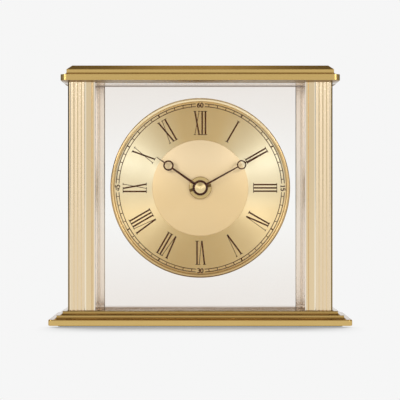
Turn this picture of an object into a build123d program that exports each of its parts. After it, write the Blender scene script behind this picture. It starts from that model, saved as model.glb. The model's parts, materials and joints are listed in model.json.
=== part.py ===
from build123d import *
import math
import os

# Frame: millimetres, +Z up, dial faces -Y, the felt rests on Z = 0 under the middle of the base.

# Case
PILLAR_SPAN = 167.46
PILLAR_WIDTH = 17.36
PILLAR_DEPTH = 40.0
PILLAR_LENGTH = 144.4
PILLAR_WALL = 1.6
FELT_THICKNESS = 0.8
FELT_INSET = 5.5
SLAB_THICKNESS = 3.9
SLAB_OVERHANG = 11.27
SLAB_CORNER = 2.2
SLAB_EDGE_ROUND = 0.7
LOWER_TIER_HEIGHT = 2.35
LOWER_TIER_OVERHANG = 6.45
UPPER_TIER_HEIGHT = 2.45
UPPER_TIER_OVERHANG = 2.95
TIER_FILLET = 1.05
COVE_RUN = 2.4
BASE_TOP_WALL = 3.2
BASE_SIDE_WALL = 4.68
BOTTOM_PLATE_THICKNESS = 1.6
BOTTOM_PLATE_LEDGE = 4.1
PLATE_SCREW_SPACING = 32.0

# Pillar section, counted from the outer edge
EDGE_ROUND = 1.5
REED_COUNT = 4
REED_PITCH = 2.35
REED_HEIGHT = 0.55
LIP_WIDTH = 1.8
LIP_GROOVE = 0.5

# Cap
CAP_OVERHANG = 4.4
CAP_LOWER_HEIGHT = 4.7
CAP_BEVEL = 0.95
CAP_CORNER = 4.0
CAP_COVE = 1.4
CAP_FOOT = 0.3
CAP_UPPER_OVERHANG = 0.72
CAP_UPPER_FACE = 1.9
CAP_CHAMFER_RISE = 2.7
CAP_CHAMFER_RUN = 3.4
CAP_WALL = 2.2
CAP_BOSS_WALL = 1.6

# Panes
GLASS_THICKNESS = 3.0
GLASS_BITE = 2.2
GLASS_SEAT = 1.2
FRONT_GLASS_SETBACK = 3.0
DIAL_GLASS_SETBACK = 19.0
BEAD_WIDTH = 3.27
BEAD_DEPTH = 3.0
BEAD_TONGUE = 1.5
TONGUE_THICKNESS = 1.0

# Fasteners
TIE_RADIUS = 1.5
TIE_HEAD_RADIUS = 2.8
TIE_HEAD_HEIGHT = 2.0
TIE_SPACING = 18.0
TIE_BOSS_WALL = 1.5
TIE_THREAD = 3.4
TIE_SLOT_WIDTH = 0.8
TIE_SLOT_DEPTH = 0.8
WASHER_THICKNESS = 0.5
WASHER_MARGIN = 0.6
SMALL_SCREW_RADIUS = 1.0
SMALL_HEAD_RADIUS = 1.8
SMALL_HEAD_HEIGHT = 0.9
SMALL_THREAD = 2.2
SMALL_SLOT_WIDTH = 0.5
SMALL_SLOT_DEPTH = 0.4

# Dial and hands, angles clockwise from twelve
DIAL_PLACE = 0.5381
DIAL_RADIUS = 57.8
DIAL_THICKNESS = 0.8
DIAL_CENTRE_RADIUS = 30.9
DIAL_CENTRE_RISE = 0.2
RIM_WIDTH = 2.5
RIM_HEIGHT = 3.0
RIM_SEAT = 0.7
RIM_SHOULDER = 1.8
RIM_CREST = 1.0
NUT_RADIUS = 7.2
NUT_THICKNESS = 2.2
NUT_SLOT_WIDTH = 1.9
NUT_SLOT_DEPTH = 2.4
NUT_SLOT_SINK = 1.4
NUT_CHAMFER = 0.35
NUT_TURN = -14.0
NUT_MARGIN = 1.0
BUSH_PROUD = 0.4
HOUR_HAND_GAP = 0.3
MINUTE_HAND_GAP = 0.5
HAND_THICKNESS = 0.5
HAND_BOSS = 0.5
HAND_COLLAR = 0.9
MINUTE_ANGLE = 60.9
HOUR_ANGLE = 300.0 + MINUTE_ANGLE / 12.0
HOUR_LENGTH = 34.2
HOUR_RING = 24.9
HOUR_RING_RADIUS = 3.35
HOUR_RING_STROKE = 1.0
HOUR_BOSS_RADIUS = 4.9
HOUR_BLADE = (1.65, 1.1)
HOUR_TIP = (0.85, 0.4)
MINUTE_LENGTH = 46.5
MINUTE_RING = 30.3
MINUTE_RING_RADIUS = 3.0
MINUTE_RING_STROKE = 0.8
MINUTE_BOSS_RADIUS = 4.3
MINUTE_BLADE = (1.3, 0.8)
MINUTE_TIP = (0.7, 0.35)
HAND_CAP_RADIUS = 3.5
HAND_CAP_HEIGHT = 1.9
HAND_CAP_SOCKET = 0.85
HAND_CAP_EDGE = 0.57
HAND_CAP_BROW = 0.23
HAND_CAP_BROW_RADIUS = 1.05

# Movement, measured from its front face
MOVEMENT_SIZE = 56.0
MOVEMENT_WALL = 1.2
COVER_SEAT = 13.8
GASKET_THICKNESS = 0.8
GASKET_WIDTH = 8.0
BUSH_RADIUS = 3.9
BUSH_FLANGE_RADIUS = 5.2
BUSH_FLANGE = 0.6
HOUR_TUBE_RADIUS = 2.5
ARBOR_RADIUS = 1.5
ARBOR_NECK = 1.1
PIVOT_RADIUS = 0.5
PIVOT_DEPTH = 0.7
MOTION_END_GAP = 0.2
WHEEL_THICKNESS = 0.8
THICK_WHEEL = 1.2
HOUR_WHEEL_AT = 1.5
MINUTE_PINION_AT = 2.9
MIDDLE_PLATE_AT = 4.5
MIDDLE_PLATE = 1.0
CENTRE_WHEEL_AT = 5.8
THIRD_WHEEL_AT = 7.1
SECONDS_WHEEL_AT = 8.3
INTERMEDIATE_WHEEL_AT = 9.5
CLUTCH_THICKNESS = 0.2
CLUTCH_RADIUS = 2.8
KNOB_RADIUS = 6.5
KNOB_HEIGHT = 4.6
KNOB_FLUTES = 14
KNOB_CHAMFER = 0.5
KNOB_GAP = 0.4
FLUTE_RADIUS = 0.9
FLUTE_OUTSET = 0.35
SETTING_RADIUS = 1.2
SETTING_GRIP = 3.45
POST_RADIUS = 2.2
POST_NECK = 1.6
POST_INSET = 2.3
HOUR_WHEEL_THICKNESS = 1.0
ARBOR_END = 0.15
ARBOR_SOCKET = 1.2

# Gear teeth
PRESSURE_ANGLE = 30.0
ADDENDUM = 0.8
DEDENDUM = 1.05
TOOTH_THINNING = 0.12
FLANK_STEPS = 3
HUB_SHARE = 0.95
MINUTE_PINION_TEETH = 12
MOTION_WHEEL_TEETH = 36
MOTION_PINION_TEETH = 10
HOUR_WHEEL_TEETH = 40
SETTING_TEETH = 18
PINION_TEETH = 8
THIRD_WHEEL_TEETH = 60
CENTRE_WHEEL_TEETH = 64
SECONDS_WHEEL_TEETH = 48
INTERMEDIATE_TEETH = 40
MOTION_DISTANCE = 12.0
MOTION_DIRECTION = 210.0
SETTING_DISTANCE = 13.5
SETTING_DIRECTION = 218.0
THIRD_DISTANCE = 9.6
THIRD_DIRECTION = -80.0
INTERMEDIATE_DISTANCE = 10.0
INTERMEDIATE_DIRECTION = 0.0
ROTOR_DISTANCE = 7.2
ROTOR_DIRECTION = -30.0

# Motor, circuit and cell
MAGNET_RADIUS = 2.6
MAGNET_LENGTH = 2.6
MAGNET_AT = 6.2
ROTOR_CORE_RADIUS = 0.8
ROTOR_CORE_PROUD = 0.3
STATOR_AT = 7.0
STATOR_THICKNESS = 0.8
STATOR_WIDTH = 9.0
STATOR_ARM = 3.0
STATOR_DROP = 13.2
STATOR_RISE = 14.4
STATOR_REACH = 9.2
STATOR_TRIM = 0.1
PAD_RADIUS = 1.3
PAD_OFFSET = 2.2
AIR_GAP = 0.5
CORE_THICKNESS = 0.9
CORE_WIDTH = 3.0
COIL_RADIUS = 2.6
COIL_WALL = 0.5
COIL_OFFSET = 7.27
COIL_END_GAP = 0.2
BOBBIN_MARGIN = 0.35
WINDING_INSET = 0.15
BOARD_AT = 11.5
BOARD_THICKNESS = 0.8
BOARD_START = 4.8
BOARD_LENGTH = 29.8
BOARD_WIDTH = 8.6
BOARD_EDGE_GAP = 0.6
BOARD_POST_RADIUS = 1.4
BOARD_POST_START = 8.0
BOARD_POST_SPACING = 23.6
CRYSTAL_RADIUS = 1.0
CRYSTAL_LENGTH = 6.0
CRYSTAL_START = 17.0
CHIP_SIZE = 3.6
CHIP_HEIGHT = 0.7
CELL_RADIUS = 7.1
CELL_LENGTH = 50.5
CELL_CLEARANCE = 0.15
CELL_NUB_RADIUS = 2.7
CELL_NUB = 1.0
CELL_CHAMFER = 0.5
CONTACT_THICKNESS = 0.4
CONTACT_WIDTH = 9.94

# Clearances
SLIP = 0.1
PRESS = 0.02
RUNNING = 0.06
SEAT_GAP = 0.05

# OVERSHOOT: how far a cut runs past a face. OVERLAP: how far joined shapes run into each other.
# ARC_MIDDLE: how far the middle of a quarter round lies from its corner, as a share of the radius.
OVERSHOOT = 1.0
OVERLAP = 0.5
ARC_MIDDLE = 1 - math.sqrt(0.5)

# Levels of the case
Z_SLAB = FELT_THICKNESS
Z_LOWER_TIER = Z_SLAB + SLAB_THICKNESS
Z_UPPER_TIER = Z_LOWER_TIER + LOWER_TIER_HEIGHT
Z_FLOOR = Z_UPPER_TIER + UPPER_TIER_HEIGHT
Z_CEILING = Z_FLOOR + PILLAR_LENGTH
Z_CAP_COVE = Z_CEILING + CAP_LOWER_HEIGHT
Z_CAP_FACE = Z_CAP_COVE + CAP_COVE
Z_CAP_CHAMFER = Z_CAP_FACE + CAP_UPPER_FACE
Z_TOP = Z_CAP_CHAMFER + CAP_CHAMFER_RISE
Z_POCKET = Z_FLOOR - BASE_TOP_WALL
DIAL_HEIGHT = Z_FLOOR + PILLAR_LENGTH * DIAL_PLACE
X_OUTER = PILLAR_SPAN / 2
X_INNER = X_OUTER - PILLAR_WIDTH
Y_HALF = PILLAR_DEPTH / 2
X_TIE = (X_INNER + GLASS_BITE + X_OUTER) / 2
Y_TIE = TIE_SPACING / 2

# Levels along the dial axis
Y_FRONT_GLASS = -Y_HALF + FRONT_GLASS_SETBACK
Y_DIAL_GLASS = -Y_HALF + DIAL_GLASS_SETBACK
Y_DIAL = Y_DIAL_GLASS - DIAL_THICKNESS
Y_NUT = Y_DIAL - DIAL_CENTRE_RISE - WASHER_THICKNESS
Y_BUSH_END = Y_NUT - NUT_THICKNESS - BUSH_PROUD
Y_HOUR_HAND = Y_BUSH_END - HOUR_HAND_GAP
Y_TUBE_END = Y_HOUR_HAND - HAND_BOSS - HAND_THICKNESS
Y_MINUTE_HAND = Y_TUBE_END - MINUTE_HAND_GAP
Y_HAND_CAP = Y_MINUTE_HAND - HAND_BOSS - HAND_THICKNESS
Y_MOVEMENT = Y_DIAL_GLASS + GLASS_THICKNESS + GASKET_THICKNESS
Y_COVER = Y_MOVEMENT + COVER_SEAT
Y_REAR = Y_COVER + MOVEMENT_WALL

HALF_CASE = MOVEMENT_SIZE / 2
HALF_INSIDE = HALF_CASE - MOVEMENT_WALL
CELL_BAY = 2 * CELL_RADIUS + 3 * CELL_CLEARANCE
PARTITION = HALF_INSIDE - CELL_BAY


def block(x0, x1, y0, y1, z0, z1):
    """Box between two corners."""
    return Pos((x0 + x1) / 2, (y0 + y1) / 2, (z0 + z1) / 2) * Box(x1 - x0, y1 - y0, z1 - z0)


def post(x, y, radius, z0, z1):
    """Round bar along Z."""
    return Pos(x, y, (z0 + z1) / 2) * Cylinder(radius, z1 - z0)


def axis_plane(x, z, y):
    """Plane square to the dial axis; x and z count from the dial centre, local turns run clockwise."""
    return Plane(origin=(x, y, DIAL_HEIGHT + z), x_dir=(1, 0, 0), z_dir=(0, 1, 0))


def rod(x, z, radius, y0, y1):
    """Round bar along Y; x and z count from the dial centre."""
    return axis_plane(x, z, (y0 + y1) / 2) * Cylinder(radius, y1 - y0)


def washer(x, z, radius, bore, y0, y1):
    """Flat ring square to the dial axis."""
    return rod(x, z, radius, y0, y1) - rod(x, z, bore, y0 - OVERSHOOT, y1 + OVERSHOOT)


def box_behind_dial(x0, x1, y0, y1, z0, z1):
    """Box whose x and z count from the dial centre."""
    return block(x0, x1, y0, y1, DIAL_HEIGHT + z0, DIAL_HEIGHT + z1)


def moulding(profile):
    """Block with the same moulded profile on four sides, mitred at the corners.

    The profile runs upwards as (outset from the pillar faces, height, kind of the line to this point).
    """
    sections = []
    for half in (X_OUTER, Y_HALF):
        lines = []
        for sign in (1, -1):
            last = None
            for outset, height, kind in profile:
                here = (sign * (half + outset), height)
                if kind == "line":
                    lines.append(Line(last, here))
                if kind == "cove":
                    mid_x = here[0] + (last[0] - here[0]) * ARC_MIDDLE
                    mid_z = last[1] + (here[1] - last[1]) * ARC_MIDDLE
                    lines.append(ThreePointArc(last, (mid_x, mid_z), here))
                last = here
        for outset, height, _ in (profile[0], profile[-1]):
            lines.append(Line((-half - outset, height), (half + outset, height)))
        sections.append(make_face(Curve() + lines))
    reach = PILLAR_SPAN + 4 * SLAB_OVERHANG
    across = extrude(Plane.XZ * sections[0], amount=reach, both=True)
    along = extrude(Plane.YZ * sections[1], amount=reach, both=True)
    return across & along


def rounded_plate(outset, corner, z0, z1):
    """Plate with rounded vertical corners, given by its outset from the pillar faces."""
    plan = RectangleRounded(2 * (X_OUTER + outset), 2 * (Y_HALF + outset), corner)
    return extrude(Pos(0, 0, z0) * plan, amount=z1 - z0)


def both_sides(x, y):
    """The four mirrored places of a fastener."""
    return [(sx * x, sy * y) for sx in (-1, 1) for sy in (-1, 1)]


def pane_slot(y0, grow):
    """Room that a pane takes between the pillars, the base and the cap."""
    return block(
        -X_INNER - GLASS_BITE - grow,
        X_INNER + GLASS_BITE + grow,
        y0 - grow,
        y0 + GLASS_THICKNESS + grow,
        Z_FLOOR - GLASS_SEAT - grow,
        Z_CEILING + GLASS_SEAT + grow,
    )


def glass_slots():
    """Grooves for both panes."""
    return pane_slot(Y_FRONT_GLASS, SEAT_GAP) + pane_slot(Y_DIAL_GLASS, SEAT_GAP)


def plate_screw_places():
    """Screws of the bottom plate, on the ledge round the pocket."""
    x = X_OUTER + LOWER_TIER_OVERHANG - BASE_SIDE_WALL + BOTTOM_PLATE_LEDGE / 2
    return both_sides(x, PLATE_SCREW_SPACING / 2)


def bottom_plate_block(grow):
    """Outline of the bottom plate."""
    reach = LOWER_TIER_OVERHANG - BASE_SIDE_WALL + BOTTOM_PLATE_LEDGE + grow
    z1 = Z_SLAB + BOTTOM_PLATE_THICKNESS
    return block(-X_OUTER - reach, X_OUTER + reach, -Y_HALF - reach, Y_HALF + reach, Z_SLAB, z1)


def make_base():
    """Slab with two coved tiers, a pocket below, grooves for the panes and holes for the fasteners."""
    slab = rounded_plate(SLAB_OVERHANG, SLAB_CORNER, Z_SLAB, Z_LOWER_TIER)
    rims = slab.edges().filter_by(Plane.XY)
    slab = fillet(rims, SLAB_EDGE_ROUND)
    tiers = moulding(
        [
            (LOWER_TIER_OVERHANG + COVE_RUN, Z_LOWER_TIER - SLAB_THICKNESS / 2, "start"),
            (LOWER_TIER_OVERHANG + COVE_RUN, Z_LOWER_TIER, "line"),
            (LOWER_TIER_OVERHANG, Z_UPPER_TIER - TIER_FILLET, "cove"),
            (LOWER_TIER_OVERHANG, Z_UPPER_TIER, "line"),
            (UPPER_TIER_OVERHANG + COVE_RUN, Z_UPPER_TIER, "line"),
            (UPPER_TIER_OVERHANG, Z_FLOOR - TIER_FILLET, "cove"),
            (UPPER_TIER_OVERHANG, Z_FLOOR, "line"),
        ]
    )
    base = slab + tiers
    inset = LOWER_TIER_OVERHANG - BASE_SIDE_WALL
    x_pocket = X_OUTER + inset
    y_pocket = Y_HALF + inset
    base -= block(-x_pocket, x_pocket, -y_pocket, y_pocket, Z_SLAB - OVERSHOOT, Z_POCKET)
    base -= bottom_plate_block(SEAT_GAP)
    base -= glass_slots()
    for x, y in both_sides(X_TIE, Y_TIE):
        base -= post(x, y, TIE_RADIUS + SLIP, Z_POCKET - OVERSHOOT, Z_FLOOR + OVERSHOOT)
    hole = SMALL_SCREW_RADIUS + SEAT_GAP
    z_plate = Z_SLAB + BOTTOM_PLATE_THICKNESS
    for x, y in plate_screw_places():
        base -= post(x, y, hole, z_plate - OVERSHOOT, z_plate + SMALL_THREAD + 2 * SEAT_GAP)
    return base


def make_bottom_plate():
    """Plate that closes the pocket, with sunk screw holes."""
    plate = bottom_plate_block(0)
    for x, y in plate_screw_places():
        plate -= post(x, y, SMALL_SCREW_RADIUS + SLIP, Z_SLAB - OVERSHOOT, Z_UPPER_TIER)
        plate -= post(x, y, SMALL_HEAD_RADIUS + SLIP, Z_SLAB - OVERSHOOT, Z_SLAB + SMALL_HEAD_HEIGHT)
    return plate


def make_bottom_screws():
    """Flat-headed screws of the bottom plate."""
    screws = []
    z_end = Z_SLAB + BOTTOM_PLATE_THICKNESS + SMALL_THREAD
    for x, y in plate_screw_places():
        head = post(x, y, SMALL_HEAD_RADIUS, Z_SLAB, Z_SLAB + SMALL_HEAD_HEIGHT)
        screws.append(head + post(x, y, SMALL_SCREW_RADIUS, Z_SLAB, z_end))
    return Compound(children=screws)


def make_felt():
    """Thin pad the clock stands on."""
    outset = SLAB_OVERHANG - FELT_INSET
    return rounded_plate(outset, SLAB_CORNER, 0, FELT_THICKNESS)


def pillar_section():
    """Closed outline of the right pillar: rounded edge, reeds, flat band and lip along the front."""
    front = -Y_HALF
    band = front + REED_HEIGHT
    inset = EDGE_ROUND * ARC_MIDDLE
    lines = []
    corner = X_OUTER - EDGE_ROUND
    mid = (X_OUTER - inset, band + inset)
    lines.append(ThreePointArc((X_OUTER, band + EDGE_ROUND), mid, (corner, band)))
    x = corner
    for _ in range(REED_COUNT):
        lines.append(ThreePointArc((x, band), (x - REED_PITCH / 2, front), (x - REED_PITCH, band)))
        x -= REED_PITCH
    x_lip = X_INNER + LIP_WIDTH
    lines.append(Line((x, band), (x_lip + LIP_GROOVE, band)))
    lines.append(Line((x_lip + LIP_GROOVE, band), (x_lip + LIP_GROOVE / 2, band + LIP_GROOVE)))
    lines.append(Line((x_lip + LIP_GROOVE / 2, band + LIP_GROOVE), (x_lip, band)))
    lines.append(Line((x_lip, band), (X_INNER, band)))
    lines.append(Line((X_INNER, band), (X_INNER, Y_HALF)))
    back = Y_HALF - EDGE_ROUND
    lines.append(Line((X_INNER, Y_HALF), (corner, Y_HALF)))
    mid = (X_OUTER - inset, Y_HALF - inset)
    lines.append(ThreePointArc((corner, Y_HALF), mid, (X_OUTER, back)))
    lines.append(Line((X_OUTER, back), (X_OUTER, band + EDGE_ROUND)))
    return make_face(Curve() + lines)


def bead_block(grow):
    """Right rear bead with the tongue that holds it in the pillar."""
    y0 = Y_HALF - BEAD_DEPTH
    z1 = Z_CEILING
    tongue_y = Y_HALF - BEAD_DEPTH / 2
    half = TONGUE_THICKNESS / 2 + grow
    bead = block(X_INNER - BEAD_WIDTH, X_INNER, y0, Y_HALF, Z_FLOOR, z1)
    x0 = X_INNER - OVERLAP
    x1 = X_INNER + BEAD_TONGUE + grow
    tongue = block(x0, x1, tongue_y - half, tongue_y + half, Z_FLOOR, z1)
    return bead, tongue


def make_pillar():
    """Right pillar: hollow, with two screw channels held by webs."""
    pillar = extrude(Pos(0, 0, Z_FLOOR) * pillar_section(), amount=PILLAR_LENGTH)
    x0 = X_INNER + GLASS_BITE + PILLAR_WALL
    x1 = X_OUTER - PILLAR_WALL
    y0 = -Y_HALF + REED_HEIGHT + PILLAR_WALL
    y1 = Y_HALF - PILLAR_WALL
    z0 = Z_FLOOR - OVERSHOOT
    z1 = Z_CEILING + OVERSHOOT
    hollow = block(x0, x1, y0, y1, z0, z1)
    bore = TIE_RADIUS + SLIP
    for y in (-Y_TIE, Y_TIE):
        web = PILLAR_WALL / 2
        hollow -= block(x0 - OVERSHOOT, x1 + OVERSHOOT, y - web, y + web, z0 - OVERSHOOT, z1 + OVERSHOOT)
        hollow -= post(X_TIE, y, bore + TIE_BOSS_WALL, z0 - OVERSHOOT, z1 + OVERSHOOT)
    pillar -= hollow
    for y in (-Y_TIE, Y_TIE):
        pillar -= post(X_TIE, y, bore, z0, z1)
    pillar -= glass_slots()
    pillar -= bead_block(SEAT_GAP)[1]
    return pillar


def make_tie_screws():
    """Four long screws from the base pocket to the cap, and their washers."""
    screws = []
    washers = []
    z_head = Z_POCKET - WASHER_THICKNESS
    for x, y in both_sides(X_TIE, Y_TIE):
        head = post(x, y, TIE_HEAD_RADIUS, z_head - TIE_HEAD_HEIGHT, z_head)
        slot_size = (2 * TIE_HEAD_RADIUS + OVERSHOOT, TIE_SLOT_WIDTH, 2 * TIE_SLOT_DEPTH)
        slot = Pos(x, y, z_head - TIE_HEAD_HEIGHT) * Box(*slot_size)
        screws.append(head - slot + post(x, y, TIE_RADIUS, z_head, Z_CEILING + TIE_THREAD))
        ring = post(x, y, TIE_HEAD_RADIUS + WASHER_MARGIN, z_head, Z_POCKET)
        washers.append(ring - post(x, y, TIE_RADIUS + SLIP, z_head - OVERSHOOT, Z_POCKET + OVERSHOOT))
    return Compound(children=screws), Compound(children=washers)


def cap_screw_places():
    """Screws that join the two cap layers, hidden above the pillars."""
    return [(-X_TIE, 0), (X_TIE, 0)]


def make_cap_lower():
    """Lower cap plate with rounded corners and an underside that slopes up to its edge."""
    plate = moulding(
        [
            (0, Z_CEILING, "start"),
            (CAP_OVERHANG, Z_CEILING + CAP_BEVEL, "line"),
            (CAP_OVERHANG, Z_CAP_COVE, "line"),
        ]
    )
    plate = plate & rounded_plate(CAP_OVERHANG, CAP_CORNER, Z_CEILING - OVERSHOOT, Z_TOP)
    plate -= glass_slots()
    for x, y in both_sides(X_TIE, Y_TIE):
        plate -= post(x, y, TIE_RADIUS + SEAT_GAP, Z_CEILING - OVERSHOOT, Z_CEILING + TIE_THREAD + SLIP)
    for x, y in cap_screw_places():
        plate -= post(x, y, SMALL_SCREW_RADIUS + SLIP, Z_CEILING - OVERSHOOT, Z_TOP)
        plate -= post(x, y, SMALL_HEAD_RADIUS + SLIP, Z_CEILING - OVERSHOOT, Z_CEILING + SMALL_HEAD_HEIGHT)
    return plate


def make_cap_upper():
    """Upper cap: thin coved foot, short face and a wide chamfer, hollow below with two screw bosses."""
    cap = moulding(
        [
            (CAP_UPPER_OVERHANG + CAP_COVE, Z_CAP_COVE, "start"),
            (CAP_UPPER_OVERHANG + CAP_COVE, Z_CAP_COVE + CAP_FOOT, "line"),
            (CAP_UPPER_OVERHANG, Z_CAP_FACE, "cove"),
            (CAP_UPPER_OVERHANG, Z_CAP_CHAMFER, "line"),
            (CAP_UPPER_OVERHANG - CAP_CHAMFER_RUN, Z_TOP, "line"),
        ]
    )
    inset = CAP_CHAMFER_RUN + CAP_WALL - CAP_UPPER_OVERHANG
    x1 = X_OUTER - inset
    y1 = Y_HALF - inset
    hollow = block(-x1, x1, -y1, y1, Z_CAP_COVE - OVERSHOOT, Z_TOP - CAP_WALL)
    boss = SMALL_SCREW_RADIUS + SEAT_GAP + CAP_BOSS_WALL
    for x, y in cap_screw_places():
        hollow -= post(x, y, boss, Z_CAP_COVE - 2 * OVERSHOOT, Z_TOP)
    cap -= hollow
    for x, y in cap_screw_places():
        z_end = Z_CAP_COVE + SMALL_THREAD + SLIP
        cap -= post(x, y, SMALL_SCREW_RADIUS + SEAT_GAP, Z_CAP_COVE - OVERSHOOT, z_end)
    return cap


def make_cap_screws():
    """Screws through the lower cap plate into the upper one."""
    screws = []
    for x, y in cap_screw_places():
        head = post(x, y, SMALL_HEAD_RADIUS, Z_CEILING, Z_CEILING + SMALL_HEAD_HEIGHT)
        screws.append(head + post(x, y, SMALL_SCREW_RADIUS, Z_CEILING, Z_CAP_COVE + SMALL_THREAD))
    return Compound(children=screws)


def make_dial_rim():
    """Rolled ring round the dial, with a step that grips the edge of the plate."""
    crest = Y_DIAL_GLASS - RIM_HEIGHT
    inner = DIAL_RADIUS - RIM_WIDTH
    shoulder = Y_DIAL_GLASS - RIM_SHOULDER
    lines = [
        Line((inner + RIM_SEAT, Y_DIAL_GLASS), (DIAL_RADIUS, Y_DIAL_GLASS)),
        Line((DIAL_RADIUS, Y_DIAL_GLASS), (DIAL_RADIUS, shoulder)),
        ThreePointArc((DIAL_RADIUS, shoulder), (DIAL_RADIUS - RIM_CREST, crest), (inner, shoulder)),
        Line((inner, shoulder), (inner, Y_DIAL)),
        Line((inner, Y_DIAL), (inner + RIM_SEAT, Y_DIAL)),
        Line((inner + RIM_SEAT, Y_DIAL), (inner + RIM_SEAT, Y_DIAL_GLASS)),
    ]
    section = Pos(0, 0, DIAL_HEIGHT) * make_face(Curve() + lines)
    return revolve(section, axis=Axis((0, 0, DIAL_HEIGHT), (0, 1, 0)), revolution_arc=360)


def make_dial_plate():
    """Dial disc with a raised middle."""
    radius = DIAL_RADIUS - RIM_WIDTH + RIM_SEAT - SEAT_GAP
    disc = rod(0, 0, radius, Y_DIAL, Y_DIAL_GLASS)
    disc += rod(0, 0, DIAL_CENTRE_RADIUS, Y_DIAL - DIAL_CENTRE_RISE, Y_DIAL)
    return disc - rod(0, 0, BUSH_RADIUS + SLIP, Y_DIAL - OVERSHOOT, Y_DIAL_GLASS + OVERSHOOT)


def make_fixing_nut():
    """Round nut with a chamfered front and two sunk slots for a key."""
    y_front = Y_NUT - NUT_THICKNESS
    nut = washer(0, 0, NUT_RADIUS, BUSH_RADIUS + SEAT_GAP, y_front, Y_NUT)
    rim = nut.edges().filter_by(GeomType.CIRCLE).group_by(Axis.Y)[0].sort_by(SortBy.RADIUS)[-1]
    nut = chamfer(rim, NUT_CHAMFER)
    for turn in (NUT_TURN, NUT_TURN + 180):
        slot = Rot(0, 0, turn) * Pos(NUT_RADIUS, 0) * Rectangle(2 * NUT_SLOT_DEPTH, NUT_SLOT_WIDTH)
        nut -= axis_plane(0, 0, y_front - OVERSHOOT) * extrude(slot, amount=NUT_SLOT_SINK + OVERSHOOT)
    return nut


def make_hand(angle, y_back, boss, bore, length, ring_at, ring_radius, stroke, blade, tip):
    """Flat hand with an open ring near its point, on a short boss."""
    ring_in = ring_radius - stroke
    arm_end = ring_at - ring_radius + stroke / 2
    tip_start = ring_at + ring_radius - stroke / 2
    arm = Polygon(
        (0, -blade[0] / 2),
        (arm_end, -blade[1] / 2),
        (arm_end, blade[1] / 2),
        (0, blade[0] / 2),
        align=None,
    )
    point = Polygon(
        (tip_start, -tip[0] / 2),
        (length, -tip[1] / 2),
        (length, tip[1] / 2),
        (tip_start, tip[0] / 2),
        align=None,
    )
    ring = Pos(ring_at, 0) * (Circle(ring_radius) - Circle(ring_in))
    flat = Circle(boss) + arm + point + ring
    hand = extrude(Rot(0, 0, angle - 90) * flat, amount=HAND_THICKNESS)
    y_front = y_back - HAND_BOSS - HAND_THICKNESS
    hand = axis_plane(0, 0, y_front) * hand
    hand += rod(0, 0, bore + HAND_COLLAR, y_front + HAND_THICKNESS / 2, y_back)
    return hand - rod(0, 0, bore, y_front - OVERSHOOT, y_back + OVERSHOOT)


def make_hand_cap():
    """Low conical cap that closes the end of the minute arbor."""
    edge = Y_HAND_CAP - HAND_CAP_EDGE
    crest = Y_HAND_CAP - HAND_CAP_HEIGHT
    brow = crest + HAND_CAP_BROW
    lines = [
        Line((0, Y_HAND_CAP), (HAND_CAP_RADIUS, Y_HAND_CAP)),
        Line((HAND_CAP_RADIUS, Y_HAND_CAP), (HAND_CAP_RADIUS, edge)),
        Line((HAND_CAP_RADIUS, edge), (HAND_CAP_BROW_RADIUS, brow)),
        Line((HAND_CAP_BROW_RADIUS, brow), (0, crest)),
        Line((0, crest), (0, Y_HAND_CAP)),
    ]
    section = Pos(0, 0, DIAL_HEIGHT) * make_face(Curve() + lines)
    cap = revolve(section, axis=Axis((0, 0, DIAL_HEIGHT), (0, 1, 0)), revolution_arc=360)
    y_socket = Y_HAND_CAP - HAND_CAP_SOCKET - SEAT_GAP
    return cap - rod(0, 0, ARBOR_NECK + SEAT_GAP, y_socket, Y_HAND_CAP + OVERSHOOT)


def polar(distance, direction, origin=(0.0, 0.0)):
    """Place (x, z) at a distance and a clockwise direction from an origin, counted from +X."""
    turn = math.radians(direction)
    return (origin[0] + distance * math.cos(turn), origin[1] - distance * math.sin(turn))


def mate_phase(phase, teeth, mate_teeth, direction):
    """Turn of a gear so that its gap meets the tooth of the gear it runs with."""
    return direction + 180 - (phase - direction) * teeth / mate_teeth + 180 / mate_teeth


def gear(teeth, module, phase, place, y0, thickness):
    """Spur gear with involute flanks drawn in straight steps."""
    pitch = module * teeth / 2
    base = pitch * math.cos(math.radians(PRESSURE_ANGLE))
    tip = pitch + ADDENDUM * module
    root = pitch - DEDENDUM * module
    spread = math.tan(math.radians(PRESSURE_ANGLE)) - math.radians(PRESSURE_ANGLE)
    half = math.pi / (2 * teeth) - TOOTH_THINNING * module / (2 * pitch) + spread
    start = max(root, base)
    flank = []
    if root < base:
        flank.append((root, half))
    for step in range(FLANK_STEPS + 1):
        radius = start + (tip - start) * step / FLANK_STEPS
        slope = math.acos(min(1.0, base / radius))
        flank.append((radius, half - math.tan(slope) + slope))
    points = []
    for tooth in range(teeth):
        middle = math.radians(phase) + 2 * math.pi * tooth / teeth
        sides = [(r, middle - a) for r, a in flank] + [(r, middle + a) for r, a in reversed(flank)]
        points += [(r * math.cos(a), r * math.sin(a)) for r, a in sides]
    face = make_face(Polyline(*points, close=True))
    return axis_plane(place[0], place[1], Y_MOVEMENT + y0) * extrude(face, amount=thickness)


def module_of(distance, teeth, mate_teeth):
    """Module that two gears need to reach over a distance."""
    return 2 * distance / (teeth + mate_teeth)


def pivot_bar(place, y0, y1, radius):
    """Arbor between two depths in the movement."""
    return rod(place[0], place[1], radius, Y_MOVEMENT + y0, Y_MOVEMENT + y1)


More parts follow.
